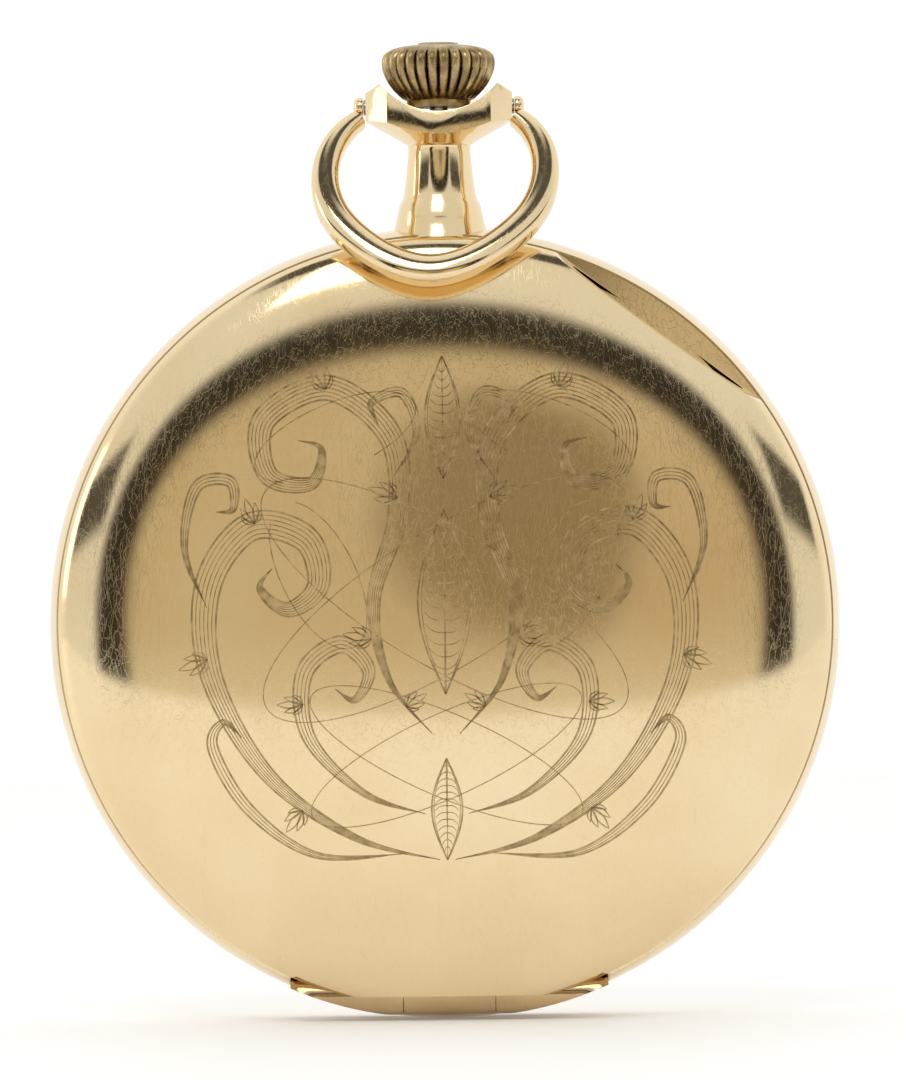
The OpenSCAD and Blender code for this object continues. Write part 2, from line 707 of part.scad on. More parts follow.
module pallet_stones() color(ruby) face() for (s = [-1, 1])
  back_slab(1.13, 1.2) translate(pallet_p - 0.95 * fork_dir + s * 2.15 * fork_side)
    rotate(atan2(fork_dir.y, fork_dir.x) + 14 * s) square([1.1, 0.34], center = true);

// ---- balance ----
module balance_wheel() color(gold) face() difference() {
  union() {
    back_slab(2.75, 3.35) translate(balance_p) ring2d(balance_d / 2 - 0.62, balance_d / 2);
    back_slab(2.95, 3.15) translate(balance_p) rotate(35) square([balance_d - 1, 0.8], center = true);
    disc(balance_p, 0.9, 2.85, 3.3);
  }
  disc(balance_p, 0.4, 2, 4);
}

module balance_screws() color(gold) face() translate([balance_p.x, balance_p.y, -3.05])
  for (i = [0:13]) rotate(35 + 360 / 14 * (i + 0.5)) rotate([0, 90, 0])
    translate([0, 0, balance_d / 2]) cylinder(h = 0.42, r = 0.26);

module balance_staff() color(steel) face() {
  disc(balance_p, 0.4, 1.4, 3.6);
  disc(balance_p, 0.75, 3.42, 3.56);
  disc(balance_p, 0.3, 0.45, 4.05);
  disc(balance_p, 0.1, -0.1, 4.4);
}

module roller() color(steel) face() {
  difference() {
    disc(balance_p, 1.9, 1.6, 1.8);
    disc(balance_p, 0.4, 1, 2);
  }
  disc(balance_p - 1.35 * fork_dir, 0.2, 1.46, 1.6);
}

module hairspring() color(blued) face() {
  back_slab(3.43, 3.55) translate(balance_p) spiral_strip(0.95, 4.4, 8, 20, 0.09);
  disc(balance_p + [4.4, 0], 0.3, 3.43, 3.55);
}

module regulator() color(steel) face() back_slab(cock_top + 0.02, cock_top + 0.14) translate(balance_p) {
  ring2d(1.35, 1.75);
  rotate(195) translate([1.6, -0.18]) square([4.2, 0.36]);
  rotate(15) translate([1.6, -0.15]) square([1.3, 0.3]);
}

// ring jewels, with pivot holes
module jewel_at(p, h0, h1, hole) difference() {
  disc(p, jewel_r, h0, h1);
  disc(p, hole, h0 - 1, h1 + 1);
}

module jewels() color(ruby) face() {
  for (p = [third_p, fourth_p, escape_p]) jewel_at(p, bridge_top - 0.6, bridge_top - 0.05, pivot_r + 0.02);
  jewel_at(center_p, bridge_top - 0.6, bridge_top - 0.05, 0.27);
  for (p = [third_p, escape_p, pallet_p]) jewel_at(p, -0.2, 0.38, pivot_r + 0.02);
  jewel_at(fourth_p, -0.2, 0.38, 0.23);
  jewel_at(pallet_p, 2.0, 2.38, pivot_r + 0.02);
  jewel_at(balance_p, -0.2, 0.38, 0.12);
  jewel_at(balance_p, cock_top - 0.5, cock_top, 0.12);
}

// ---- dial, hands and motion work ----
module dial() color(enamel) face() difference() {
  slab(dial_z, dial_z + dial_t) circle(r = 21.1);
  slab(1, 3) circle(r = 1.1);
  slab(1, 3) translate(fourth_p) circle(r = 4.3);
  slab(1, dial_z + 0.3) translate(fourth_p) circle(r = 4.7);
}

module seconds_subdial() color(enamel) face() slab(dial_z, dial_z + 0.3)
  translate(fourth_p) ring2d(0.35, 4.7);

module hour_hand() color(blued) face() slab(2.45, 2.6) difference() {
  union() {
    circle(r = 1.35);
    rotate(hour_angle) polygon([[0, -0.45], [7, -0.3], [8, -1.0], [9.6, -0.75], [12.4, 0],
      [9.6, 0.75], [8, 1.0], [7, 0.3], [0, 0.45]]);
  }
  circle(r = 0.95);
}

module minute_hand() color(blued) face() slab(2.85, 3.02) difference() {
  union() {
    circle(r = 1.1);
    rotate(minute_angle) polygon([[0, -0.4], [12, -0.25], [13, -0.75], [14.4, -0.55], [18.3, 0],
      [14.4, 0.55], [13, 0.75], [12, 0.25], [0, 0.4]]);
  }
  circle(r = 0.7);
}

module second_hand() color(blued) face() slab(2.18, 2.28) translate(fourth_p) difference() {
  union() {
    circle(r = 0.5);
    rotate(second_angle) polygon([[-1.4, -0.16], [3.7, -0.05], [3.7, 0.05], [-1.4, 0.16]]);
  }
  circle(r = 0.2);
}

module cannon_pinion() color(steel) face() difference() {
  union() {
    slab(0.75, 1.05) gear2d(12, motion_module);
    slab(1.05, 3.02) circle(r = 0.7);
  }
  slab(0, 4) circle(r = 0.52);
}

module minute_wheel() color(brass) face() translate(minute_p) difference() {
  union() {
    slab(0.76, 0.92) gear2d(36, motion_module);
    slab(0.92, 1.4) gear2d(10, 0.144);
  }
  slab(0, 2) circle(r = 0.31);
}

module hour_wheel() color(brass) face() difference() {
  union() {
    slab(1.15, 1.38) gear2d(40, 0.144);
    slab(1.38, 2.62) circle(r = 0.95);
  }
  slab(1, 3) circle(r = 0.74);
}

case_band();
pendant();
pendant_sleeve();
hinge_pins();
front_lid();
back_lid();
cuvette();
bezel();
crystal();
lock_spring();
lift_spring();
case_spring_screws();
bow();
bow_screws();
crown();
winding_stem();
winding_arbor();
winding_pinion();
clutch_wheel();
setting_lever();
clutch_lever();
setting_wheel();
dial();
seconds_subdial();
hour_hand();
minute_hand();
second_hand();
main_plate();
barrel_bridge();
train_bridge();
pallet_cock();
balance_cock();
barrel();
barrel_cover();
mainspring();
barrel_arbor();
ratchet_wheel();
ratchet_screw();
crown_wheel();
transmission_wheel();
click();
click_spring();
center_wheel();
third_wheel();
fourth_wheel();
escape_wheel();
pallet_fork();
pallet_stones();
balance_wheel();
balance_screws();
balance_staff();
roller();
hairspring();
regulator();
cannon_pinion();
minute_wheel();
hour_wheel();
jewels();
plate_screws();
case_screws();
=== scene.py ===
"""Looks of the hunter pocket watch: studio, materials, and the detailed pieces round the CAD frame."""
import json
import math

import bmesh
import bpy
import numpy as np
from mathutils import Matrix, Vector

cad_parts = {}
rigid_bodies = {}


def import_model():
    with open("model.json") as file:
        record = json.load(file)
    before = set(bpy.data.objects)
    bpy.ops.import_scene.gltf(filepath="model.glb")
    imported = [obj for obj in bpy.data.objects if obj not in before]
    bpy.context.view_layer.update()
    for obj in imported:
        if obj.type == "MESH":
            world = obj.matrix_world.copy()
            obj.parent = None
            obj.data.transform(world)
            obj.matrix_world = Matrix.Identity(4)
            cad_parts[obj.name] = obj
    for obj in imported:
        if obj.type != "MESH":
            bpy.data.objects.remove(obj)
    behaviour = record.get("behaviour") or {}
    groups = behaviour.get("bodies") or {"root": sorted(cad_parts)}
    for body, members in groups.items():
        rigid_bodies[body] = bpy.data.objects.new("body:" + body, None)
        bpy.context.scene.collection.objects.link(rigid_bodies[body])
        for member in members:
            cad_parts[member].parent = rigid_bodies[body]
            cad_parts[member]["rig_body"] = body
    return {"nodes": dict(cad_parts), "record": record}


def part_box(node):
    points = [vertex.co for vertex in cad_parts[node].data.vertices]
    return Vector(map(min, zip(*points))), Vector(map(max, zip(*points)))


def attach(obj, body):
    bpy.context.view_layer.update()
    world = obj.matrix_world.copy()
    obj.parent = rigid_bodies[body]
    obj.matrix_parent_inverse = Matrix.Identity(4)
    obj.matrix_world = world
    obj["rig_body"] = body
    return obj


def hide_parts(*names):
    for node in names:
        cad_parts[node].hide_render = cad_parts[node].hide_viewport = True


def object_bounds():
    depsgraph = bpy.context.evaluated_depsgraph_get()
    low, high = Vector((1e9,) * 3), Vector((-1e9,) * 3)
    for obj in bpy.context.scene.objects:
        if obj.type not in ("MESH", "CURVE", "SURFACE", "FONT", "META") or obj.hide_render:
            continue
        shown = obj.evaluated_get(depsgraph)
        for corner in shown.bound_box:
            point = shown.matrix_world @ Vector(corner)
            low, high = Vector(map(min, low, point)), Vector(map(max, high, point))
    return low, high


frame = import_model()
cad_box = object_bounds()
nodes = frame["nodes"]
MM = 0.001

# ---- places taken from the frame, in millimetres of the dial plane ----
# dial plane: x to the right, y up to the pendant, z out of the front


def node_box(name):
    """Corners of a CAD node in dial-plane millimetres, as x, y and z ranges."""
    lo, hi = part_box(name)
    return (lo[0] / MM, hi[0] / MM), (lo[2] / MM, hi[2] / MM), (-hi[1] / MM, -lo[1] / MM)


def joint_at(name):
    """A joint's place in the dial plane."""
    joints = frame["record"]["behaviour"]["joints"]
    x, y, z = next(j for j in joints if j["name"] == name)["pos_m"]
    return np.array([x, z, -y]) / MM


lid_y, lid_z = node_box("front_lid")[1:]
CASE_R = node_box("case_band")[0][1]
BAND_FACE = 2.9                     # half the thickness of the band
COVER_R = lid_y[1]
COVER_TOP = lid_z[1]
COVER_Z = 3.0                       # where a closed cover starts
COVER_WALL = 0.5                    # upright wall at a cover's rim
COVER_T = 0.5                       # thickness of a cover's sheet
DOME_H = COVER_TOP - COVER_Z - COVER_WALL
HINGE = joint_at("front_cover_hinge")
HINGE_R = 1.25
HINGE_HALF = 10.4                   # half length of the whole hinge
HINGE_CLEAR = 0.12                  # room round its knuckles
KNUCKLE = 3.0                       # half length of the middle knuckle
KNUCKLE_GAP = 0.05
BOW = joint_at("bow_swing")
SUBDIAL = joint_at("seconds_turn")


# ---- mesh helpers ----
def to_row(p):
    """Dial-plane millimetres to row metres."""
    p = np.asarray(p, float)
    return np.stack([p[..., 0], -p[..., 2], p[..., 1]], -1) * MM


def finish_mesh(obj, sharp):
    """Merge doubles, point normals outwards and shade smooth up to a sharp angle."""
    bm = bmesh.new()
    bm.from_mesh(obj.data)
    bmesh.ops.remove_doubles(bm, verts=bm.verts, dist=2e-7)
    bmesh.ops.dissolve_degenerate(bm, edges=bm.edges, dist=1e-7)
    bmesh.ops.recalc_face_normals(bm, faces=bm.faces)
    bm.to_mesh(obj.data)
    bm.free()
    smooth(obj.data, sharp)


def plain_object(name, verts, faces, sharp=30):
    """A mesh object from dial-plane vertices; on its own it is a working shape, such as a cutter."""
    mesh = bpy.data.meshes.new(name)
    mesh.from_pydata([tuple(v) for v in to_row(verts)], [], [tuple(f) for f in faces])
    obj = bpy.data.objects.new(name, mesh)
    bpy.context.scene.collection.objects.link(obj)
    finish_mesh(obj, sharp)
    return obj


def add_mesh(name, verts, faces, body, slot, sharp=40, stage=False):
    """A new piece from dial-plane vertices, which rides a body or else is part of the studio."""
    obj = plain_object(name, verts, faces, sharp)
    if stage:
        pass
    else:
        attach(obj, body)
    return obj


def smooth(mesh, sharp):
    mesh.polygons.foreach_set("use_smooth", [True] * len(mesh.polygons))
    mesh.set_sharp_from_angle(angle=math.radians(sharp))


def grid_faces(rows, cols, close_rows=False, close_cols=False, start=0):
    """Quads of a rows x cols grid of vertices."""
    r_end = rows if close_rows else rows - 1
    c_end = cols if close_cols else cols - 1
    return [(start + i * cols + j, start + i * cols + (j + 1) % cols,
             start + (i + 1) % rows * cols + (j + 1) % cols, start + (i + 1) % rows * cols + j)
            for i in range(r_end) for j in range(c_end)]


def revolve(profile, turns=256, about="z"):
    """Vertices and faces of a closed (r, height) outline turned about the dial axis z or the stem axis y."""
    profile = np.asarray(profile, float)
    angle = np.arange(turns) * 2 * math.pi / turns
    r, h = profile[:, 0], profile[:, 1]
    a, b = np.outer(np.cos(angle), r), np.outer(np.sin(angle), r)
    c = np.tile(h, (turns, 1))
    grid = np.stack([a, b, c], -1) if about == "z" else np.stack([a, c, b], -1)
    return grid.reshape(-1, 3), grid_faces(turns, len(profile), True, True)


def end_caps(rows, cols):
    """Faces over the first and the last row of a grid."""
    return [tuple(range(cols))[::-1], tuple(range((rows - 1) * cols, rows * cols))]


def loft(low, high):
    """A closed body between two outlines with as many points each."""
    n = len(low)
    return low + high, grid_faces(2, n, False, True) + end_caps(2, n)


def join(parts):
    """Several (verts, faces) as one."""
    verts, faces, n = [], [], 0
    for v, f in parts:
        verts.append(np.asarray(v, float))
        faces += [tuple(i + n for i in face) for face in f]
        n += len(v)
    return np.concatenate(verts), faces


def prism(outline, z0, z1):
    """A straight prism on a closed dial-plane outline."""
    return loft([(x, y, z0) for x, y in outline], [(x, y, z1) for x, y in outline])


def x_prism(outline, x0, x1):
    """A straight prism along x on a closed (y, z) outline."""
    return loft([(x0, y, z) for y, z in outline], [(x1, y, z) for y, z in outline])


def prism_box(a, b):
    """A plain box between two dial-plane corners."""
    return prism([(a[0], a[1]), (b[0], a[1]), (b[0], b[1]), (a[0], b[1])], a[2], b[2])


def bake(obj):
    """Turn an object's modifiers into its mesh."""
    dg = bpy.context.evaluated_depsgraph_get()
    made = bpy.data.meshes.new_from_object(obj.evaluated_get(dg))
    obj.modifiers.clear()
    old = obj.data
    obj.data = made
    bpy.data.meshes.remove(old)


def cut(obj, tool, operation="DIFFERENCE"):
    """Cut a working shape with a tool, or keep what both fill, and drop the tool."""
    mod = obj.modifiers.new("cut", "BOOLEAN")
    mod.object, mod.operation, mod.solver = tool, operation, "EXACT"
    bake(obj)
    bpy.data.objects.remove(tool)


def bevel(obj, width, segments):
    """Round a working shape's edges."""
    mod = obj.modifiers.new("edge", "BEVEL")
    mod.width, mod.segments, mod.limit_method = width * MM, segments, "ANGLE"
    mod.angle_limit = math.radians(25)
    bake(obj)


# ---- materials ----
class Nodes:
    """A small writer of shader nodes for one tree."""

    def __init__(self, tree, coords):
        self.tree = tree
        tree.nodes.clear()
        self.coords = self.make("ShaderNodeTexCoord").outputs[coords]

    def put(self, socket, value):
        """Link a value to an input, or set the input to it."""
        if isinstance(value, bpy.types.NodeSocket):
            self.tree.links.new(value, socket)
        else:
            socket.default_value = value

    def make(self, kind, **inputs):
        """A new node with some of its inputs set by name."""
        node = self.tree.nodes.new(kind)
        for name, value in inputs.items():
            self.put(node.inputs[name], value)
        return node

    def mapping(self, scale, turn=(0, 0, 0)):
        return self.make("ShaderNodeMapping", Vector=self.coords, Scale=scale, Rotation=turn).outputs[0]

    def noise(self, scale, detail=4, vector=None, rough=0.5):
        return self.make("ShaderNodeTexNoise", Vector=vector or self.coords, Scale=scale, Detail=detail,
                         Roughness=rough).outputs["Fac"]

    def math(self, op, a, b=0.0):
        node = self.make("ShaderNodeMath")
        node.operation = op
        self.put(node.inputs[0], a)
        self.put(node.inputs[1], b)
        return node.outputs[0]

    def span(self, value, low, high, to_low=0.0, to_high=1.0):
        """A value's place between low and high, carried over to another range and held inside it."""
        node = self.make("ShaderNodeMapRange")
        for socket, v in zip(node.inputs, (value, low, high, to_low, to_high)):
            self.put(socket, v)
        return node.outputs[0]

    def mix(self, factor, a, b):
        node = self.make("ShaderNodeMix")
        node.data_type = "RGBA"
        self.put(node.inputs[0], factor)
        self.put(node.inputs[6], a)
        self.put(node.inputs[7], b)
        return node.outputs[2]


class Surface(Nodes):
    """The nodes of one material."""

    def __init__(self, name):
        self.mat = bpy.data.materials.new(name)
        self.mat.use_nodes = True
        super().__init__(self.mat.node_tree, "Object")
        self.bsdf = self.make("ShaderNodeBsdfPrincipled")
        self.make("ShaderNodeOutputMaterial", Surface=self.bsdf.outputs[0])

    def scratches(self, scale, turn, width, stretch=14, seed=0.0):
        """1 on hairlines that run one way, 0 between them."""
        where = self.mapping((scale, scale / stretch, scale * 0.3 + seed), turn)
        wave = self.noise(1.0, 2, where, 0.4)
        edge = self.math("ABSOLUTE", self.math("SUBTRACT", wave, 0.5))
        return self.span(edge, 0.0, width, 1.0, 0.0)

    def bump(self, height, distance, strength):
        node = self.make("ShaderNodeBump", Strength=strength, Distance=distance, Height=height)
        self.put(self.bsdf.inputs["Normal"], node.outputs[0])

    def set(self, **values):
        for name, value in values.items():
            self.put(self.bsdf.inputs[name.replace("_", " ")], value)
        return self.mat


def rgba(r, g, b):
    return (r, g, b, 1.0)


def polished_gold(name, base, worn, rough=0.05, scratch=1.0):
    """Gold with soft polish marks, crossing hairlines and slightly warmer worn patches."""
    n = Surface(name)
    hairs = n.scratches(1500, (0.2, 0.9, 0.1), 0.006 * scratch)
    for turn, scale in (((0.1, -0.5, 0.4), 1900), ((0.5, 2.2, 0.0), 1300), ((0, 1.6, 0.3), 2300)):
        hairs = n.math("MAXIMUM", hairs, n.scratches(scale, turn, 0.005 * scratch, 16, scale * 0.1))
    cloud = n.noise(90, 5)
    fine = n.noise(1500, 3)
    tone = n.mix(n.span(cloud, 0.35, 0.7), rgba(*base), rgba(*worn))
    tone = n.mix(n.math("MULTIPLY", hairs, 0.15), tone, rgba(*[c * 0.75 for c in worn]))
    soft = n.math("ADD", n.span(cloud, 0.3, 0.75, rough, rough + 0.04), n.math("MULTIPLY", hairs, 0.10))
    soft = n.math("ADD", soft, n.span(fine, 0.4, 0.7, 0.0, 0.02))
    n.bump(n.math("ADD", n.math("MULTIPLY", hairs, -0.5), n.math("MULTIPLY", fine, 0.15)), 0.00001, 0.12)
    return n.set(Base_Color=tone, Roughness=soft, Metallic=1.0)


def worn_gold(name, low=(0.26, 0.18, 0.08), high=(0.56, 0.42, 0.21)):
    """The crown's gold, mottled by noise between a low and a high tone; given dark tones it is the painted
    shade in the flutes, and the ribs keep the brighter tones.
    """
    n = Surface(name)
    cloud = n.noise(900, 6)
    pits = n.noise(4000, 4)
    tone = n.mix(n.span(cloud, 0.35, 0.65), rgba(*low), rgba(*high))
    n.bump(n.math("ADD", cloud, n.math("MULTIPLY", pits, 0.5)), 0.00004, 0.5)
    return n.set(Base_Color=tone, Roughness=n.span(pits, 0.3, 0.7, 0.22, 0.42), Metallic=1.0)


def engraved_line(name):
    """Bright-cut line with a tarnished bottom."""
    n = Surface(name)
    cloud = n.noise(1600, 4)
    tone = n.mix(n.span(cloud, 0.35, 0.65), rgba(0.33, 0.235, 0.115), rgba(0.58, 0.43, 0.22))
    return n.set(Base_Color=tone, Roughness=n.span(cloud, 0.3, 0.7, 0.28, 0.45), Metallic=1.0)


def steel(name, base=(0.60, 0.61, 0.63), rough=0.22, grain=6000):
    """Fine ground steel with straight graining."""
    n = Surface(name)
    lines = n.noise(1.0, 3, n.mapping((grain, grain, grain / 40), (0.3, 0, 0.4)))
    cloud = n.noise(300, 3)
    tone = n.mix(cloud, rgba(*[c * 0.88 for c in base]), rgba(*base))
    n.bump(lines, 0.00001, 0.3)
    return n.set(Base_Color=tone, Metallic=1.0,
                 Roughness=n.math("ADD", n.math("MULTIPLY", lines, 0.12), rough - 0.06))


def blued_steel(name):
    n = Surface(name)
    cloud = n.noise(700, 3)
    tone = n.mix(cloud, rgba(0.012, 0.025, 0.20), rgba(0.035, 0.05, 0.34))
    n.bump(n.noise(5000, 3), 0.000008, 0.3)
    return n.set(Base_Color=tone, Metallic=1.0, Roughness=n.span(cloud, 0.3, 0.7, 0.14, 0.24))


def striped_nickel(name):
    """Nickel bridges with straight damascened stripes, each band ground the other way."""
    n = Surface(name)
    across = n.mapping((1, 1, 1), (0, math.radians(35), 0))
    split = n.make("ShaderNodeSeparateXYZ", Vector=across)
    band = n.math("SINE", n.math("MULTIPLY", split.outputs[0], 2 * math.pi / 0.0021))
    ribs = n.math("SINE", n.math("MULTIPLY", split.outputs[2], 2 * math.pi / 0.00016))
    side = n.span(band, -0.25, 0.25)
    fine = n.noise(5000, 3)
    tone = n.mix(side, rgba(0.60, 0.59, 0.56), rgba(0.74, 0.73, 0.70))
    rough = n.math("ADD", n.span(side, 0, 1, 0.20, 0.34), n.math("MULTIPLY", fine, 0.06))
    n.bump(n.math("ADD", n.math("MULTIPLY", band, 0.5), n.math("MULTIPLY", ribs, 0.12)), 0.00004, 0.5)
    return n.set(Base_Color=tone, Roughness=rough, Metallic=1.0)


def gilt_brass(name):
    """Matte gilding, with the fine grain of a frosted plate."""
    n = Surface(name)
    grain = n.noise(9000, 4)
    cloud = n.noise(250, 4)
    tone = n.mix(cloud, rgba(0.66, 0.46, 0.19), rgba(0.80, 0.60, 0.29))
    n.bump(grain, 0.00002, 0.5)
    return n.set(Base_Color=tone, Roughness=n.span(grain, 0.3, 0.7, 0.28, 0.42), Metallic=1.0)


def ruby(name):
    n = Surface(name)
    cloud = n.noise(1500, 3)
    tone = n.mix(cloud, rgba(0.42, 0.01, 0.05), rgba(0.62, 0.03, 0.11))
    return n.set(Base_Color=tone, Roughness=0.04, IOR=1.76, Coat_Weight=0.6, Coat_Roughness=0.03)


def enamel(name):
    """White fired enamel: a faint cream tone, soft ripples and a glassy coat."""
    n = Surface(name)
    cloud = n.noise(120, 4)
    tone = n.mix(cloud, rgba(0.86, 0.85, 0.80), rgba(0.92, 0.91, 0.87))
    n.bump(n.noise(400, 3), 0.00002, 0.3)
    return n.set(Base_Color=tone, Roughness=n.span(cloud, 0.3, 0.7, 0.10, 0.17), Coat_Weight=0.5,
                 Coat_Roughness=0.04)


def dial_ink(name):
    n = Surface(name)
    cloud = n.noise(2500, 3)
    tone = n.mix(cloud, rgba(0.006, 0.006, 0.007), rgba(0.02, 0.02, 0.022))
    return n.set(Base_Color=tone, Roughness=n.span(cloud, 0.3, 0.7, 0.15, 0.25))


def crystal_glass(name):
    n = Surface(name)
    dust = n.noise(3000, 3)
    n.bump(n.noise(60, 2), 0.000004, 0.15)
    return n.set(Base_Color=rgba(0.985, 0.99, 0.99), Roughness=n.span(dust, 0.55, 0.8, 0.0, 0.05),
                 Transmission_Weight=1.0, IOR=1.5, Alpha=0.45)


GOLD = (0.86, 0.70, 0.44)
GOLD_WORN = (0.80, 0.62, 0.36)
finish = {
    "case_gold": polished_gold("case_gold", GOLD, GOLD_WORN),
    "lid_gold": polished_gold("lid_gold", GOLD, GOLD_WORN, 0.06, 1.15),
    "inner_gold": polished_gold("inner_gold", (0.83, 0.66, 0.38), (0.76, 0.57, 0.30), 0.14, 0.7),
    # the hinge gold is darkened to paint the shade at the foot of the case, where it faces the shaded floor
    "hinge_gold_painted_shade": polished_gold("hinge_gold_painted_shade", (0.62, 0.45, 0.25), (0.42, 0.28, 0.14), 0.12, 1.3),
    "crown_gold": worn_gold("crown_gold"),
    # the near-black crown finish is painted shade for the crown's flutes
    "groove": worn_gold("crown_flute_painted_shade", (0.05, 0.033, 0.015), (0.16, 0.11, 0.05)),
    "line": engraved_line("engraved_line"),
    "steel": steel("steel"),
    "dark_steel": steel("dark_steel", (0.42, 0.42, 0.43), 0.3),
    "blued_steel": blued_steel("blued_steel"),
    "nickel": striped_nickel("striped_nickel"),
    "brass": gilt_brass("gilt_brass"),
    "ruby": ruby("ruby"),
    "enamel": enamel("enamel"),
    "ink": dial_ink("dial_ink"),
    "glass": crystal_glass("crystal_glass"),
}


def paint(obj, key):
    """Give a piece one finish."""
    obj.data.materials.clear()
    obj.data.materials.append(finish[key])
    return obj


# ---- covers ----
def circle_y(x, r):
    """Height below the middle where a circle of radius r stands at x."""
    return -math.sqrt(max(r * r - x * x, 0.0))


def dome_z(r):
    """Height of the front cover's skin at a plan radius."""
    share = min(r / COVER_R, 1.0)
    return COVER_Z + COVER_WALL + DOME_H * math.sqrt(max(1 - share * share, 0.0))


def cover_profile():
    """Section of a cover: its skin from the middle out, the rim, and its lining back to the middle."""
    base = COVER_Z + COVER_WALL
    outer = [(COVER_R * math.cos(a), base + DOME_H * math.sin(a))
             for a in [math.pi / 2 * (1 - i / 80) for i in range(1, 81)]]
    rim = [(COVER_R, COVER_Z + 0.3), (COVER_R - 0.05, COVER_Z + 0.1), (COVER_R - 0.2, COVER_Z),
           (COVER_R - 1.0, COVER_Z), (COVER_R - 1.2, COVER_Z + 0.1), (COVER_R - 1.2, COVER_Z + 0.3)]
    inner = [((COVER_R - COVER_T) * math.cos(a), base + (DOME_H - COVER_T) * math.sin(a))
             for a in [math.pi / 2 * i / 40 for i in range(40)]]
    return outer + rim + inner


SCALLOP = (math.radians(34), math.radians(73))    # where the thumb flat starts and ends on the rim
SCALLOP_SLOPE = 3.6                               # its rise for each millimetre inwards
LIP_R = 22.4                                      # inner radius of the solid lip under it
CHORD = (-10.2, 10.2)                             # a cover is cut off flat between these, at the hinge


def cover_skin(word, side):
    """One cover: a smooth domed shell, cut off flat along the hinge."""
    profile = cover_profile()
    turns, n = 360, len(profile)
    verts = []
    for k in range(turns):
        angle = 2 * math.pi * k / turns
        verts += [(r * math.cos(angle), r * math.sin(angle), side * z) for r, z in profile]
    faces = grid_faces(turns, n, True, False)
    verts += [(0, 0, side * COVER_TOP), (0, 0, side * (COVER_TOP - COVER_T))]
    top, low = turns * n, turns * n + 1
    for k in range(turns):
        after = (k + 1) % turns
        faces.append((k * n, top, after * n))
        faces.append((after * n + n - 1, low, k * n + n - 1))
    shell = plain_object("shell", verts, faces)
    cut(shell, plain_object("chord", *prism_box((CHORD[0], -30, -9), (CHORD[1], HINGE[1], 9))))
    room = circle_yz(side, HINGE_R + HINGE_CLEAR)
    cut(shell, plain_object("room", *x_prism(room, -KNUCKLE - KNUCKLE_GAP, KNUCKLE + KNUCKLE_GAP)))
    if side > 0:
        cut(shell, plain_object("scallop", *scallop_tool()))
    shell.name = word + "_cover_skin"
    smooth(shell.data, 22)
    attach(shell, word + "_cover")
    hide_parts(word + "_lid")
    return paint(shell, "lid_gold")


def circle_yz(side, r, steps=64):
    """A circle round one hinge axis, as (y, z) points."""
    return [(HINGE[1] + r * math.cos(2 * math.pi * k / steps),
             side * HINGE[2] + r * math.sin(2 * math.pi * k / steps)) for k in range(steps)]


def scallop_tool():
    """A slanted block that takes the thumb flat off the rim."""
    mid, half = sum(SCALLOP) / 2, (SCALLOP[1] - SCALLOP[0]) / 2
    out = np.array([math.cos(mid), math.sin(mid)])
    along = np.array([-out[1], out[0]])
    foot = COVER_R * math.cos(half)
    verts = []
    for s in (-12, 12):
        for reach, inwards in ((foot + 0.3, -0.3), (foot - 1.5, 1.5), (30, 1.5), (30, -0.3)):
            x, y = out * reach + along * s
            verts.append((x, y, COVER_Z + COVER_WALL + inwards * SCALLOP_SLOPE))
    return verts, grid_faces(2, 4, False, True) + [(3, 2, 1, 0), (4, 5, 6, 7)]


def scallop_lip():
    """Top and bottom of the solid lip under the thumb flat, so that the cut shows metal."""
    a0, a1 = SCALLOP
    rows, cols = 61, 7
    reach = COVER_R - 0.02
    top, low = [], []
    for i in range(rows):
        angle = a0 - 0.02 + (a1 - a0 + 0.04) * i / (rows - 1)
        for k in range(cols):
            r = LIP_R + (reach - LIP_R) * k / (cols - 1)
            x, y = r * math.cos(angle), r * math.sin(angle)
            top.append((x, y, COVER_Z + 0.12 + 0.15 * (COVER_R - r)))
            low.append((x, y, COVER_Z + 0.03))
    return top + low, grid_faces(rows, cols) + [f[::-1] for f in grid_faces(rows, cols, start=len(top))]


def knuckle(x0, x1, side):
    """A stretch of the hinge's barrel, trimmed to the round of the case at its ends."""
    steps, n = 24, 40
    ring = circle_yz(side, HINGE_R, n)
    verts = []
    for i in range(steps + 1):
        x = x0 + (x1 - x0) * i / steps
        floor = circle_y(x, CASE_R - 0.02)
        verts += [(x, max(y, floor), z) for y, z in ring]
    return verts, grid_faces(steps + 1, n, False, True) + end_caps(steps + 1, n)


def knuckles(name, body, side, spans):
    """Hinge barrels that ride one body."""
    made = join([knuckle(x0, x1, side) for x0, x1 in spans])
    # the knuckles take the darkened hinge gold, painted shade at the foot of the case
    return paint(add_mesh(name, *made, body, "case_gold", 35), "hinge_gold_painted_shade")


OUTER_KNUCKLES = [(KNUCKLE + KNUCKLE_GAP, HINGE_HALF), (-HINGE_HALF, -KNUCKLE - KNUCKLE_GAP)]
for side, word in ((1, "front"), (-1, "back")):
    cover_skin(word, side)
    if side > 0:
        paint(add_mesh("cover_lip", *scallop_lip(), "front_cover", "case_gold", 25), "case_gold")
    knuckles(word + "_cover_knuckles", word + "_cover", side, OUTER_KNUCKLES)


# ---- band, with its own middle knuckles ----
BAND_EDGE_R = CASE_R - 0.55         # the band's radius where it meets the covers
HINGE_SPACE = 10.5                  # half length of the room for the hinge
STEM_WAY = (-1.2, 1.2)              # window for the stem, across and in depth
POCKET_R = (22.75, 24.05)           # pockets of the two cover springs
POCKETS = ((57, 123), (-165, -119))


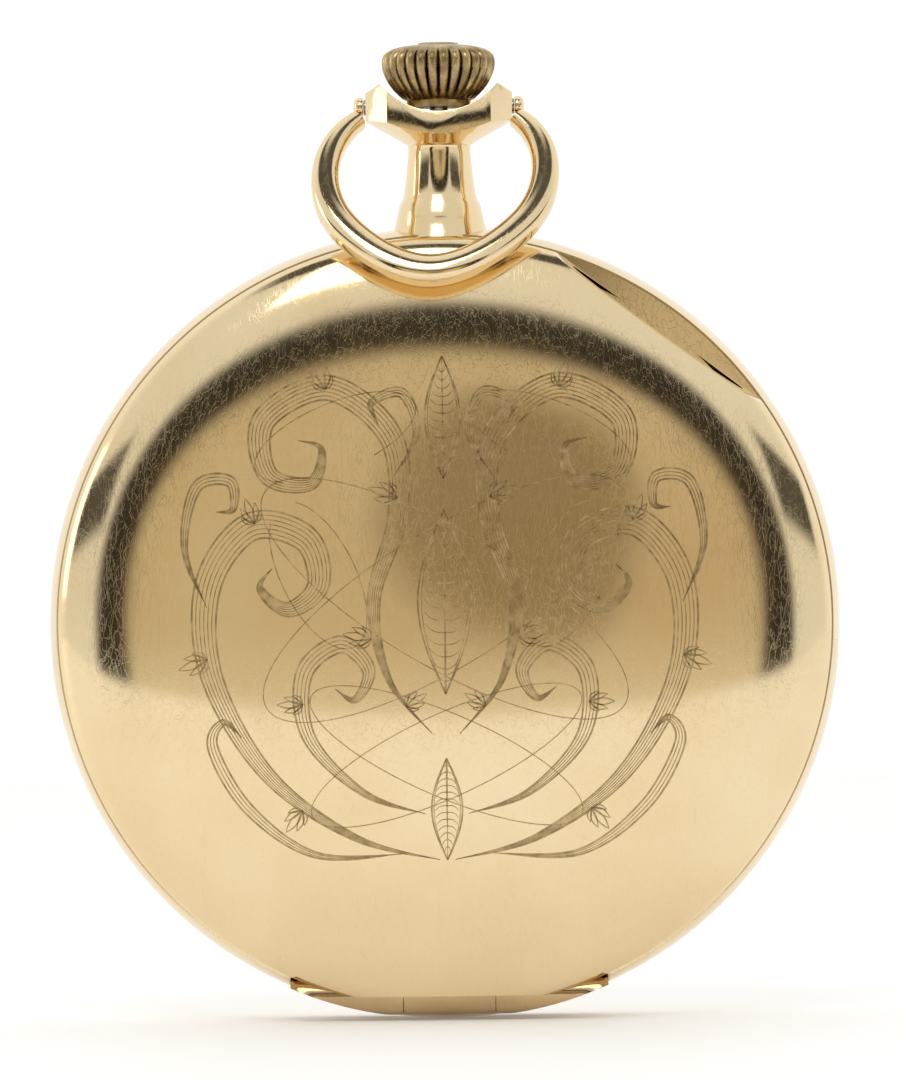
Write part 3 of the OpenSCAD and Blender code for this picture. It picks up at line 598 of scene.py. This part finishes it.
def band_piece():
    """The band: a convex belt with its bore, hinge room, stem window, spring pockets and hinge blocks."""
    belt = []
    for i in range(33):
        t = 2 * i / 32 - 1
        belt.append((CASE_R - (CASE_R - BAND_EDGE_R) * t * t, BAND_FACE * t))
    bore = [(22.1, BAND_FACE), (22.1, 2.2), (21.75, 2.2), (21.75, 0.4), (21.2, 0.4), (21.2, -1.6),
            (22.1, -1.6), (22.1, -BAND_FACE)]
    body = plain_object("band_skin", *revolve(belt + bore, 360))
    for side in (-1, 1):
        room = x_prism(circle_yz(side, HINGE_R + HINGE_CLEAR), -HINGE_SPACE, HINGE_SPACE)
        cut(body, plain_object("room", *room))
    window = prism_box((STEM_WAY[0], 19, STEM_WAY[0]), (STEM_WAY[1], 27, STEM_WAY[1]))
    cut(body, plain_object("stem_way", *window))
    for a0, a1 in POCKETS:
        arc = [math.radians(a0 + (a1 - a0) * i / 40) for i in range(41)]
        strip = [(POCKET_R[1] * math.cos(a), POCKET_R[1] * math.sin(a)) for a in arc]
        strip += [(POCKET_R[0] * math.cos(a), POCKET_R[0] * math.sin(a)) for a in reversed(arc)]
        cut(body, plain_object("pocket", *prism(strip, 0.9, 3.2)))
    body.name = "band_skin"
    smooth(body.data, 30)
    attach(body, "case")
    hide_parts("case_band")
    paint(body, "case_gold")
    knuckles("band_knuckles_front", "case", 1, [(-KNUCKLE, KNUCKLE)])
    knuckles("band_knuckles_back", "case", -1, [(-KNUCKLE, KNUCKLE)])
    ears = [prism_box((x, -23.25, -3.8), (x + 1.2, -22.55, -2.5)) for x in (-2.9, 1.7)]
    block = prism_box((-KNUCKLE, -25.7, -1.4), (KNUCKLE, -23.2, 1.4))
    paint(add_mesh("hinge_blocks", *join(ears + [block]), "case", "case_gold", 30), "case_gold")


band_piece()


# ---- pendant, crown and bow ----
HEAD_TAPER = 0.74                   # depth of the head at its top, as a share of that at its foot
CROWN_ROOM_R = 4.96                 # round opening in the head, in front of and behind the crown
CROWN_ROOM_Y = 38.46


def pendant_piece():
    """Neck with a collar at the band, and a faceted head with the crown's seat."""
    neck = [(1.5, 25.2), (3.3, 25.2), (3.05, 25.85), (2.93, 26.2), (2.85, 26.6), (2.66, 27.5),
            (2.5, 27.7), (2.36, 28.2), (2.2, 29.4), (2.06, 30.8), (2.05, 31.2), (2.2, 31.7), (1.5, 32)]
    paint(add_mesh("pendant_neck", *revolve(neck, 128, "y"), "case", "case_gold", 40), "case_gold")
    outline = [(-1.95, 31.3), (1.95, 31.3), (3.1, 31.95), (4.0, 32.35), (4.78, 32.85), (4.82, 34.75),
               (3.85, 35.35), (-3.85, 35.35), (-4.82, 34.75), (-4.78, 32.85), (-4.0, 32.35),
               (-3.1, 31.95)]
    plan = [(-5, -1.6), (-3.4, -3.4), (3.4, -3.4), (5, -1.6), (5, 1.6), (3.4, 3.4), (-3.4, 3.4), (-5, 1.6)]
    facets = loft([(x, 31.2, z) for x, z in plan], [(x, 35.6, z * HEAD_TAPER) for x, z in plan])
    bell = [(0, 31.25), (1.98, 31.25), (2.4, 31.5), (3.1, 31.95), (4.0, 32.45), (4.9, 32.95), (7, 34),
            (7, 36), (0, 36)]
    seat = [(0, 33.3), (2.4, 33.3), (2.4, 33.9), (3, 34.5), (3.75, 35.3), (3.75, 36.2), (0, 36.2)]
    bore = [(0, 30), (1.5, 30), (1.5, 36), (0, 36)]
    arc = [(CROWN_ROOM_R * math.cos(a), CROWN_ROOM_Y + CROWN_ROOM_R * math.sin(a))
           for a in np.linspace(0, 2 * math.pi, 97)[:-1]]
    head = plain_object("pendant_head", *prism(outline, -4, 4))
    cut(head, plain_object("facets", *facets), "INTERSECT")
    cut(head, plain_object("bell", *revolve(bell, 96, "y")), "INTERSECT")
    cut(head, plain_object("seat", *revolve(seat, 64, "y")))
    cut(head, plain_object("bore", *revolve(bore, 48, "y")))
    cut(head, plain_object("crown_room", *prism(arc, -6, 6)))
    bevel(head, 0.14, 4)
    smooth(head.data, 50)
    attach(head, "case")
    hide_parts("pendant")
    return paint(head, "case_gold")


pendant_piece()

FLUTES = 28
FLUTE_DEPTH = 0.36


def crown_piece():
    """Fluted crown: ribs run over the shoulder and fade into the flat button on top."""
    outline = [(0.6, 33.85), (2.1, 33.85), (2.1, 34.3), (2.35, 34.42), (2.65, 34.68), (2.95, 34.98),
               (3.2, 35.3), (3.42, 35.65), (3.58, 36.0), (3.7, 36.35), (3.75, 36.75), (3.72, 37.05),
               (3.62, 37.3), (3.42, 37.5), (3.1, 37.68), (2.7, 37.8), (2.3, 37.88), (1.9, 37.93),
               (1.45, 37.96), (1.35, 37.98), (1.32, 38.06), (1.26, 38.1), (0.6, 38.1)]
    turns = FLUTES * 14
    verts = []
    for k in range(turns):
        angle = 2 * math.pi * k / turns
        groove = abs(math.sin(FLUTES * angle / 2)) ** 0.7
        for r, y in outline:
            depth = FLUTE_DEPTH * max(0.0, min(1.0, (r - 1.5) / 1.6)) * (1 if y > 34.5 else 0)
            rr = r - depth * (1 - groove)
            verts.append((rr * math.cos(angle), y, rr * math.sin(angle)))
    faces = grid_faces(turns, len(outline), True, True)
    body = add_mesh("crown_fluted", verts, faces, "crown", "case_gold", 60)
    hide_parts("crown")
    paint(body, "crown_gold")
    # faces down in the flutes take the near-black finish: painted shade, wider towards the foot of the crown
    body.data.materials.append(finish["groove"])
    for face in body.data.polygons:
        x, y = face.center.x / MM, face.center.y / MM
        near = abs(math.sin(FLUTES * math.atan2(-y, x) / 2))
        height = face.center.z / MM
        if near < 0.2 + 0.16 * (37.2 - height) and math.hypot(x, y) > 2.25 and height < 37.5:
            face.material_index = 1
    cap = [(0, 37.9), (1.2, 37.9), (1.2, 38.08), (1.1, 38.12), (0, 38.12)]
    paint(add_mesh("crown_button", *revolve(cap, 64, "y"), "crown", "case_gold", 30), "line")
    return body


crown_piece()

BOW_LEAN = math.radians(33)         # how far the hanging bow leans forward
# the bow's own plane: towards its tip, and out of the loop
TO_TIP = np.array([0, -math.cos(BOW_LEAN), math.sin(BOW_LEAN)])
OUT = np.array([0, math.sin(BOW_LEAN), math.cos(BOW_LEAN)])
BOW_TURN = 134                      # the loop runs this many degrees to each side of its tip
BOW_R = 7.2
BOW_REACH = 5.45                    # pivot to the middle of the loop
BOW_DROP = 0.55                     # the ends are drawn in towards the tip by this
BOW_HANG = 0.05                     # sideways hang, for each millimetre towards the tip


def pivot_round(outline, sign, turns):
    """A closed (r, x) outline turned about the bow's pivot, on one side of the pendant."""
    rows = []
    for k in range(turns):
        a = 2 * math.pi * k / turns
        rows += [BOW + np.array([sign * x, r * math.cos(a), r * math.sin(a)]) for r, x in outline]
    return rows, grid_faces(turns, len(outline), True, True)


def bow_piece():
    """The bow: a round-to-heart loop of flattened wire with slimmer ends, its eyes, and its screws."""
    steps, around = 220, 28
    rows = []
    for i in range(steps + 1):
        phi = math.radians(-BOW_TURN + 2 * BOW_TURN * i / steps)
        end = abs(phi) / math.radians(BOW_TURN)
        r = BOW_R + 0.42 * math.exp(-(phi / 0.36) ** 2) - 0.10 * math.exp(-((abs(phi) - 0.8) / 0.3) ** 2)
        centre = np.array([r * math.sin(phi), BOW_DROP * end ** 6 + BOW_REACH + r * math.cos(phi)])
        radial = np.array([math.sin(phi), math.cos(phi)])
        half_wide = 1.0 - 0.42 * end ** 4
        half_thick = 0.92 - 0.2 * end ** 4
        for k in range(around):
            a = 2 * math.pi * k / around
            u = math.copysign(abs(math.cos(a)) ** 0.95, math.cos(a)) * half_wide
            v = math.copysign(abs(math.sin(a)) ** 0.55, math.sin(a)) * half_thick
            x, s = centre + radial * u
            rows.append(BOW + np.array([x - BOW_HANG * s, 0, 0]) + TO_TIP * s + OUT * v)
    loop = (rows, grid_faces(steps + 1, around, False, True) + end_caps(steps + 1, around))
    eye = [(0.1, 4.98), (0.62, 4.98), (0.68, 5.08), (0.66, 5.35), (0.5, 5.55), (0.3, 5.6), (0.1, 5.62)]
    body = add_mesh("bow_loop", *join([loop] + [pivot_round(eye, sign, 48) for sign in (-1, 1)]), "bow",
                    "case_gold", 50)
    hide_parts("bow")
    screw = [(0, 3.4), (0.28, 3.4), (0.28, 4.7), (0.52, 4.7), (0.52, 4.9), (0.46, 4.95), (0, 4.96)]
    screws = add_mesh("bow_screw_heads", *join([pivot_round(screw, sign, 32) for sign in (-1, 1)]),
                      nodes["bow_screws"]["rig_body"], "steel", 30)
    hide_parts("bow_screws")
    paint(screws, "dark_steel")
    return paint(body, "case_gold")


bow_piece()


# ---- ornament cut into the front cover ----
def smooth_path(points, per=26):
    """A smooth Catmull-Rom curve through given plan points."""
    pts = np.array([points[0]] + list(points) + [points[-1]], float)
    made = []
    for i in range(1, len(pts) - 2):
        p0, p1, p2, p3 = pts[i - 1:i + 3]
        for u in np.arange(per) / per:
            made.append(0.5 * (2 * p1 + (p2 - p0) * u + (2 * p0 - 5 * p1 + 4 * p2 - p3) * u ** 2
                               + (3 * p1 - p0 - 3 * p2 + p3) * u ** 3))
    return np.array(made + [pts[-2]])


def oval(at, rx, ry, tilt, start, end):
    """A tilted oval, or part of one."""
    a = np.radians(np.linspace(start, end, 160))
    c, s = math.cos(math.radians(tilt)), math.sin(math.radians(tilt))
    x, y = rx * np.cos(a), ry * np.sin(a)
    return np.stack([at[0] + c * x - s * y, at[1] + s * x + c * y], 1)


def arched(p, q, rise, samples=14):
    """A shallow arch from p to q."""
    p, q = np.array(p, float), np.array(q, float)
    u = np.linspace(0, 1, samples)[:, None]
    normal = np.array([-(q - p)[1], (q - p)[0]])
    return p + (q - p) * u + normal * rise * np.sin(np.pi * u)


def sideways(path):
    """Unit vectors across a plan path, to its left."""
    along = np.gradient(path, axis=0)
    along /= np.linalg.norm(along, axis=1)[:, None] + 1e-9
    return np.stack([-along[:, 1], along[:, 0]], 1)


LINE_LIFT = 0.012                   # the cuts' faces lie this far above the cover


def ribbon(path, widths):
    """A fine line laid on the front dome along a plan path."""
    rows = []
    for p, s, w in zip(path, sideways(path), widths):
        for k in (-0.5, 0.5):
            x, y = p + s * w * k
            rows.append((x, y, dome_z(math.hypot(x, y)) + LINE_LIFT))
    return rows, [(2 * i, 2 * i + 1, 2 * i + 3, 2 * i + 2) for i in range(len(path) - 1)]


def swelled(path, wide, lines):
    """A stroke of parallel lines that swells in the middle and runs out to a hairline at its ends."""
    t = np.linspace(0, 1, len(path))
    swell = wide * np.sin(np.pi * t) ** 1.3
    side = sideways(path)
    fade = np.clip(np.minimum(t, 1 - t) * 9, 0.35, 1)
    made = []
    for k in range(lines):
        off = (k / (lines - 1) - 0.5) * swell
        heavy = 1.5 if k in (0, lines - 1) else 0.8
        made.append(ribbon(path + side * off[:, None], 0.085 * heavy * fade))
    return made


def tuft(p, heading, size):
    """A little spray of leaf cuts fanning out from a point."""
    blades, spread = 5, 1.5
    made = []
    for k in range(blades):
        f = k / (blades - 1) - 0.5
        a = heading + f * spread
        reach = size * (1 - 0.9 * abs(f))
        end = (p[0] + reach * math.cos(a), p[1] + reach * math.sin(a))
        for side in (-1, 1):
            path = arched(p, end, 0.13 * side + 0.22 * f)
            made.append(ribbon(path, 0.05 + 0.05 * np.sin(np.pi * np.linspace(0, 1, len(path)))))
    return made


def leaf(p, q, wide):
    """A pointed upright leaf: a double outline, a rib and short curved veins."""
    made = []
    p, q = np.array(p, float), np.array(q, float)
    long = np.linalg.norm(q - p)
    for f in (-1, 1):
        for k in (1.0, 0.86):
            path = arched(p, q, f * k * wide / long, 60)
            made.append(ribbon(path, np.full(len(path), 0.11 if k == 1.0 else 0.06)))
    rib = arched(p, q, 0, 40)
    made.append(ribbon(rib, np.linspace(0.14, 0.05, len(rib))))
    axis = (q - p) / long
    normal = np.array([-axis[1], axis[0]])
    for i in range(1, 14):
        base = p + (q - p) * (i / 15)
        reach = wide * math.sin(math.pi * (i + 1) / 15) * 0.78
        for f in (-1, 1):
            path = arched(base, base + axis * 0.05 * long + normal * f * reach, 0.16 * f, 10)
            made.append(ribbon(path, np.linspace(0.08, 0.04, len(path))))
    return made


# one half of the ornament, in millimetres of the dial plane; the other half mirrors it
# scrolls: swell, lines, points the stroke runs through
SCROLLS = [
    (1.8, 7, [(0.5, -15.4), (6, -13.9), (11.6, -9.8), (15.2, -3.4), (15.4, 2.6), (12.6, 6.4), (9.0, 5.6),
              (8.2, 2.6), (10.2, 1.0), (12.0, 2.4), (11.2, 3.7)]),
    (1.6, 7, [(0.9, -7.2), (3.7, -3.6), (4.6, 1.6), (3.0, 7.0), (3.4, 12.2), (7.4, 15.4), (11.6, 13.4),
              (11.4, 9.8), (8.6, 9.2), (7.9, 11.4), (9.4, 12.0)]),
    (1.1, 5, [(1.4, -12.4), (5.4, -11.0), (8.9, -7.4), (9.2, -3.2), (6.8, -1.3), (5.0, -3.0), (5.9, -4.9),
              (7.2, -4.2)]),
    (0.7, 4, [(15.5, 1.2), (16.9, 5.0), (16.1, 9.0), (13.9, 9.4), (13.7, 7.6), (14.8, 7.4)]),
    (0.7, 4, [(3.0, -15.0), (8.6, -15.0), (12.9, -12.0), (15.2, -8.0), (14.5, -6.3), (13.3, -7.3)]),
    (0.6, 4, [(3.2, 9.6), (1.7, 12.4), (2.6, 15.0), (4.6, 14.4), (4.2, 13.0)]),
]
# ovals: middle, two radii, tilt, start and end; tufts: place, heading, size; leaves: ends, width
OVALS = [((0.0, 1.6), 13.6, 4.4, 31, 0, 360), ((0.0, -8.6), 9.6, 2.7, -24, 0, 360),
         ((8.2, 3.2), 5.2, 2.4, 64, 20, 330), ((7.0, 12.2), 5.6, 2.2, -22, -40, 250)]
TUFTS = [((15.5, -2.2), -0.35, 2.0), ((9.4, -12.1), -0.9, 1.8), ((4.8, -1.0), 0.2, 1.9),
         ((3.0, 8.2), 0.35, 2.0), ((9.3, -5.2), 0.0, 1.7), ((7.6, 15.3), 1.25, 1.9),
         ((12.3, 6.6), 1.2, 1.8), ((2.6, -5.4), 2.6, 1.6)]
LEAVES = [((0, -4.6), (0, 7.4), 1.75), ((0, 9.4), (0, 17.4), 1.15), ((0, -8.8), (0, -15.4), 1.0)]


def ornament():
    """Mirrored scrolls round upright leaves; every cut sits just on the cover's dome."""
    parts = []
    for wide, lines, points in SCROLLS:
        parts += swelled(smooth_path(points), wide, lines)
    for loop in OVALS:
        path = oval(*loop)
        parts.append(ribbon(path, np.full(len(path), 0.07)))
    for p, heading, size in TUFTS:
        parts += tuft(p, heading, size)
    parts += [([(-x, y, z) for x, y, z in v], [face[::-1] for face in f]) for v, f in parts]
    for p, q, wide in LEAVES:
        parts += leaf(p, q, wide)
    obj = add_mesh("cover_engraving", *join(parts), "front_cover", "case_gold", 180)
    return paint(obj, "line")


ornament()


# ---- dial printing ----
DIAL_TOP = node_box("dial")[2][1]
SUB_TOP = node_box("seconds_subdial")[2][1]
INK_T = 0.015
NUMERAL_WEIGHT = 0.012              # outlines grow by this share of the size
NUMERAL_STRETCH = 1.12              # figures are this much taller than the font's own
TRACK = (19.0, 19.9)                # radii of the minute track and of the seconds track
SECONDS_TRACK = (3.6, 4.05)


def spot_on(angle, r, at=(0, 0)):
    """Where a clock angle (0 at twelve, clockwise) stands; twelve lies to the left of the pendant."""
    a = math.radians(180 - angle)
    return at[0] + r * math.cos(a), at[1] + r * math.sin(a)


def tick(angle, r0, r1, wide, z, at=(0, 0)):
    """A printed mark that points at the middle of its circle."""
    p, q = np.array(spot_on(angle, r0, at)), np.array(spot_on(angle, r1, at))
    side = np.array([-(q - p)[1], (q - p)[0]]) / np.linalg.norm(q - p) * wide / 2
    return prism([tuple(p + side), tuple(p - side), tuple(q - side), tuple(q + side)], z, z + INK_T)


def ring_line(r, wide, z, at=(0, 0)):
    """A printed circle."""
    r0, r1 = r - wide / 2, r + wide / 2
    v, f = revolve([(r0, z), (r1, z), (r1, z + INK_T), (r0, z + INK_T)], 180)
    return v + np.array([at[0], at[1], 0]), f


def numeral(words, angle, r, size, z, at=(0, 0)):
    """A printed number, upright for a reader who holds twelve at the top."""
    curve = bpy.data.curves.new("numeral_" + words, "FONT")
    curve.body, curve.size, curve.align_x, curve.align_y = words, size * MM, "CENTER", "CENTER"
    curve.extrude = INK_T * MM / 2
    curve.offset = NUMERAL_WEIGHT * size * MM
    obj = bpy.data.objects.new("numeral", curve)
    bpy.context.scene.collection.objects.link(obj)
    dg = bpy.context.evaluated_depsgraph_get()
    mesh = bpy.data.meshes.new_from_object(obj.evaluated_get(dg))
    x, y = spot_on(angle, r, at)
    verts = []
    for v in mesh.vertices:
        a, b = v.co.x / MM, v.co.y / MM * NUMERAL_STRETCH
        verts.append((x - b, y + a, z + INK_T / 2 + v.co.z / MM))
    faces = [tuple(poly.vertices) for poly in mesh.polygons]
    bpy.data.objects.remove(obj)
    bpy.data.meshes.remove(mesh)
    return verts, faces


def dial_printing():
    """Hours, a minute track with heavier five-minute marks, and the small seconds scale."""
    z = DIAL_TOP
    parts = [ring_line(TRACK[1], 0.07, z), ring_line(TRACK[0], 0.07, z)]
    for i in range(60):
        parts.append(tick(6 * i, *TRACK, 0.3 if i % 5 == 0 else 0.09, z))
    for hour in range(1, 13):
        if hour != 6:
            parts.append(numeral(str(hour), 30 * hour, 15.7, 5.2 if hour < 10 else 4.7, z))
    z = SUB_TOP
    parts += [ring_line(SECONDS_TRACK[1], 0.05, z, SUBDIAL), ring_line(SECONDS_TRACK[0], 0.04, z, SUBDIAL)]
    for i in range(60):
        parts.append(tick(6 * i, *SECONDS_TRACK, 0.1 if i % 5 == 0 else 0.04, z, SUBDIAL))
    for i in range(6):
        parts.append(numeral(str(10 * i or 60), 60 * i, 2.85, 1.0, z, SUBDIAL))
    return paint(add_mesh("dial_printing", *join(parts), "case", "enamel", 30), "ink")


dial_printing()


# ---- CAD pieces that are shown as they are; those not named here are plain steel ----
SHOWN_IN = {
    "case_gold": ["bezel", "balance_wheel", "balance_screws"],
    "inner_gold": ["cuvette"],
    "glass": ["crystal"],
    "blued_steel": ["hour_hand", "minute_hand", "second_hand", "ratchet_screw", "hairspring",
                    "plate_screws", "case_screws"],
    "enamel": ["dial", "seconds_subdial"],
    "nickel": ["barrel_bridge", "train_bridge", "pallet_cock", "balance_cock"],
    "brass": ["main_plate", "barrel", "barrel_cover", "center_wheel", "third_wheel", "fourth_wheel",
              "minute_wheel", "hour_wheel"],
    "ruby": ["pallet_stones", "jewels"],
    "dark_steel": ["bow_screws", "pendant_sleeve", "hinge_pins", "case_spring_screws", "roller"],
}
for obj in nodes.values():
    paint(obj, "steel")
for key, names in SHOWN_IN.items():
    for name in names:
        paint(nodes[name], key)


# ---- studio ----
# The room by direction from the watch: x to the right, y to the back, z up. A card stands ahead of
# it, and its edges are angles in degrees from straight ahead.
CARD_WIDE = 1.5                     # the card's width over its height
CARD_SQUARE = 2.7                   # 2 is an oval; higher has squarer corners
CARD_EDGE = 17.8                    # where the card ends and its dark ring begins
RING_EDGE = 25.8                    # where the ring ends and the white room begins
CARD_LEFT = (0.61, 0.53, 0.38)
CARD_RIGHT = (0.60, 0.51, 0.37)
CARD_LOW = (0.84, 0.78, 0.66)
CARD_RING = (0.035, 0.03, 0.025)
ROOM_FRONT = (0.83, 0.83, 0.82)
SPOT_AT = (0.07, -1, 0.11)          # a darker patch on the card, with a rough outline
SPOT_R = 7.6
SPOT = (0.30, 0.24, 0.155)
WHITE = (1.0, 1.0, 1.0)


def world_look():
    """A bright white room with a warm card, its dark ring, and dark flags above and to both sides."""
    world = bpy.data.worlds.new("studio")
    bpy.context.scene.world = world
    world.use_nodes = True
    n = Nodes(world.node_tree, "Generated")

    def degrees(radians):
        return n.math("MULTIPLY", radians, 180 / math.pi)

    def band(value, low, high, soft):
        """1 between two values with soft edges."""
        return n.math("MULTIPLY", n.span(value, low - soft, low + soft),
                      n.span(value, high - soft, high + soft, 1.0, 0.0))

    split = n.make("ShaderNodeSeparateXYZ", Vector=n.coords)
    x, y, z = split.outputs[0], split.outputs[1], split.outputs[2]
    across = n.math("ABSOLUTE", x)

    # the card and its ring, by their angle from straight ahead
    wide = n.math("POWER", n.math("ABSOLUTE", n.math("DIVIDE", x, CARD_WIDE)), CARD_SQUARE)
    high = n.math("POWER", n.math("ABSOLUTE", z), CARD_SQUARE)
    reach = n.math("POWER", n.math("ADD", wide, high), 1 / CARD_SQUARE)
    ahead = degrees(n.math("ARCTAN2", reach, n.math("MULTIPLY", y, -1.0)))
    tone = n.mix(n.span(x, -0.35, 0.35), rgba(*CARD_LEFT), rgba(*CARD_RIGHT))
    tone = n.mix(n.span(z, -0.17, -0.01, 1.0, 0.0), tone, rgba(*CARD_LOW))
    card = n.mix(n.span(ahead, CARD_EDGE - 1.0, CARD_EDGE + 1.0), tone, rgba(*CARD_RING))
    wall = n.mix(n.span(y, -0.35, 0.1), rgba(*ROOM_FRONT), rgba(*WHITE))
    room = n.mix(n.span(ahead, RING_EDGE - 1.5, RING_EDGE + 1.5), card, wall)

    # the darker patch
    towards = n.make("ShaderNodeVectorMath")
    towards.operation = "DOT_PRODUCT"
    n.put(towards.inputs[0], n.coords)
    n.put(towards.inputs[1], Vector(SPOT_AT).normalized())
    from_spot = degrees(n.math("ARCCOSINE", n.math("MINIMUM", towards.outputs["Value"], 1.0)))
    wobble = n.math("MULTIPLY", n.math("SUBTRACT", n.noise(5.0, 6.0), 0.5), 7.0)
    spot = n.math("ADD", from_spot, wobble)
    room = n.mix(n.span(spot, SPOT_R - 1.2, SPOT_R + 1.2, 1.0, 0.0), room, rgba(*SPOT))

    # the flags, which only stand in the front half of the room
    front = n.span(y, -0.05, 0.05, 1.0, 0.0)
    above = n.math("MULTIPLY", band(z, 0.83, 0.955, 0.012), n.span(across, 0.40, 0.52, 1.0, 0.0))
    wings = n.math("MULTIPLY", band(z, 0.17, 0.36, 0.02), band(across, 0.60, 0.93, 0.02))
    flags = n.math("MULTIPLY", n.math("MAXIMUM", above, wings), front)
    room = n.mix(n.math("MULTIPLY", flags, 0.93), room, rgba(*CARD_RING))

    background = n.make("ShaderNodeBackground", Color=room, Strength=1.05)
    n.make("ShaderNodeOutputWorld", Surface=background.outputs[0])


world_look()


def pale_floor(name):
    """White paper that glows a little, so that it runs into the white of the room."""
    n = Surface(name)
    cloud = n.noise(6, 3)
    tone = n.mix(cloud, rgba(0.955, 0.95, 0.94), rgba(0.97, 0.967, 0.96))
    return n.set(Base_Color=tone, Roughness=n.span(cloud, 0.3, 0.7, 0.5, 0.6),
                 Emission_Color=rgba(*WHITE), Emission_Strength=0.11)


finish["floor"] = pale_floor("pale_floor")
FLOOR_Y = cad_box[0][2] / MM
FLOOR_X, FLOOR_FRONT, FLOOR_BACK = 600, 230, -600
corners = [(-FLOOR_X, FLOOR_Y, FLOOR_FRONT), (FLOOR_X, FLOOR_Y, FLOOR_FRONT),
           (FLOOR_X, FLOOR_Y, FLOOR_BACK), (-FLOOR_X, FLOOR_Y, FLOOR_BACK)]
paint(add_mesh("floor", corners, [(0, 1, 2, 3)], None, None, stage=True), "floor")


def softbox(name, at, size, power):
    """A square studio light aimed at the watch."""
    light = bpy.data.lights.new(name, "AREA")
    light.size, light.energy, light.color = size, power, (1, 0.97, 0.92)
    lamp = bpy.data.objects.new(name, light)
    bpy.context.scene.collection.objects.link(lamp)
    lamp.location = at
    lamp.rotation_euler = (Vector((0, 0, 0.005)) - Vector(at)).to_track_quat("-Z", "Y").to_euler()


softbox("top_light", (-0.08, -0.48, 0.57), 0.32, 0.9)
softbox("left_light", (-0.7, -0.05, 0.2), 0.3, 0.4)

camera_data = bpy.data.cameras.new("camera")
camera_data.sensor_width, camera_data.lens = 36, 304.0
camera_data.clip_start, camera_data.clip_end = 0.01, 10
camera = bpy.data.objects.new("camera", camera_data)
bpy.context.scene.collection.objects.link(camera)
camera.location = (0.00059, -0.6, 0.0054)
camera.rotation_euler = (math.radians(90), math.radians(0.7), 0)
bpy.context.scene.camera = camera
bpy.context.scene.view_settings.view_transform = "Standard"
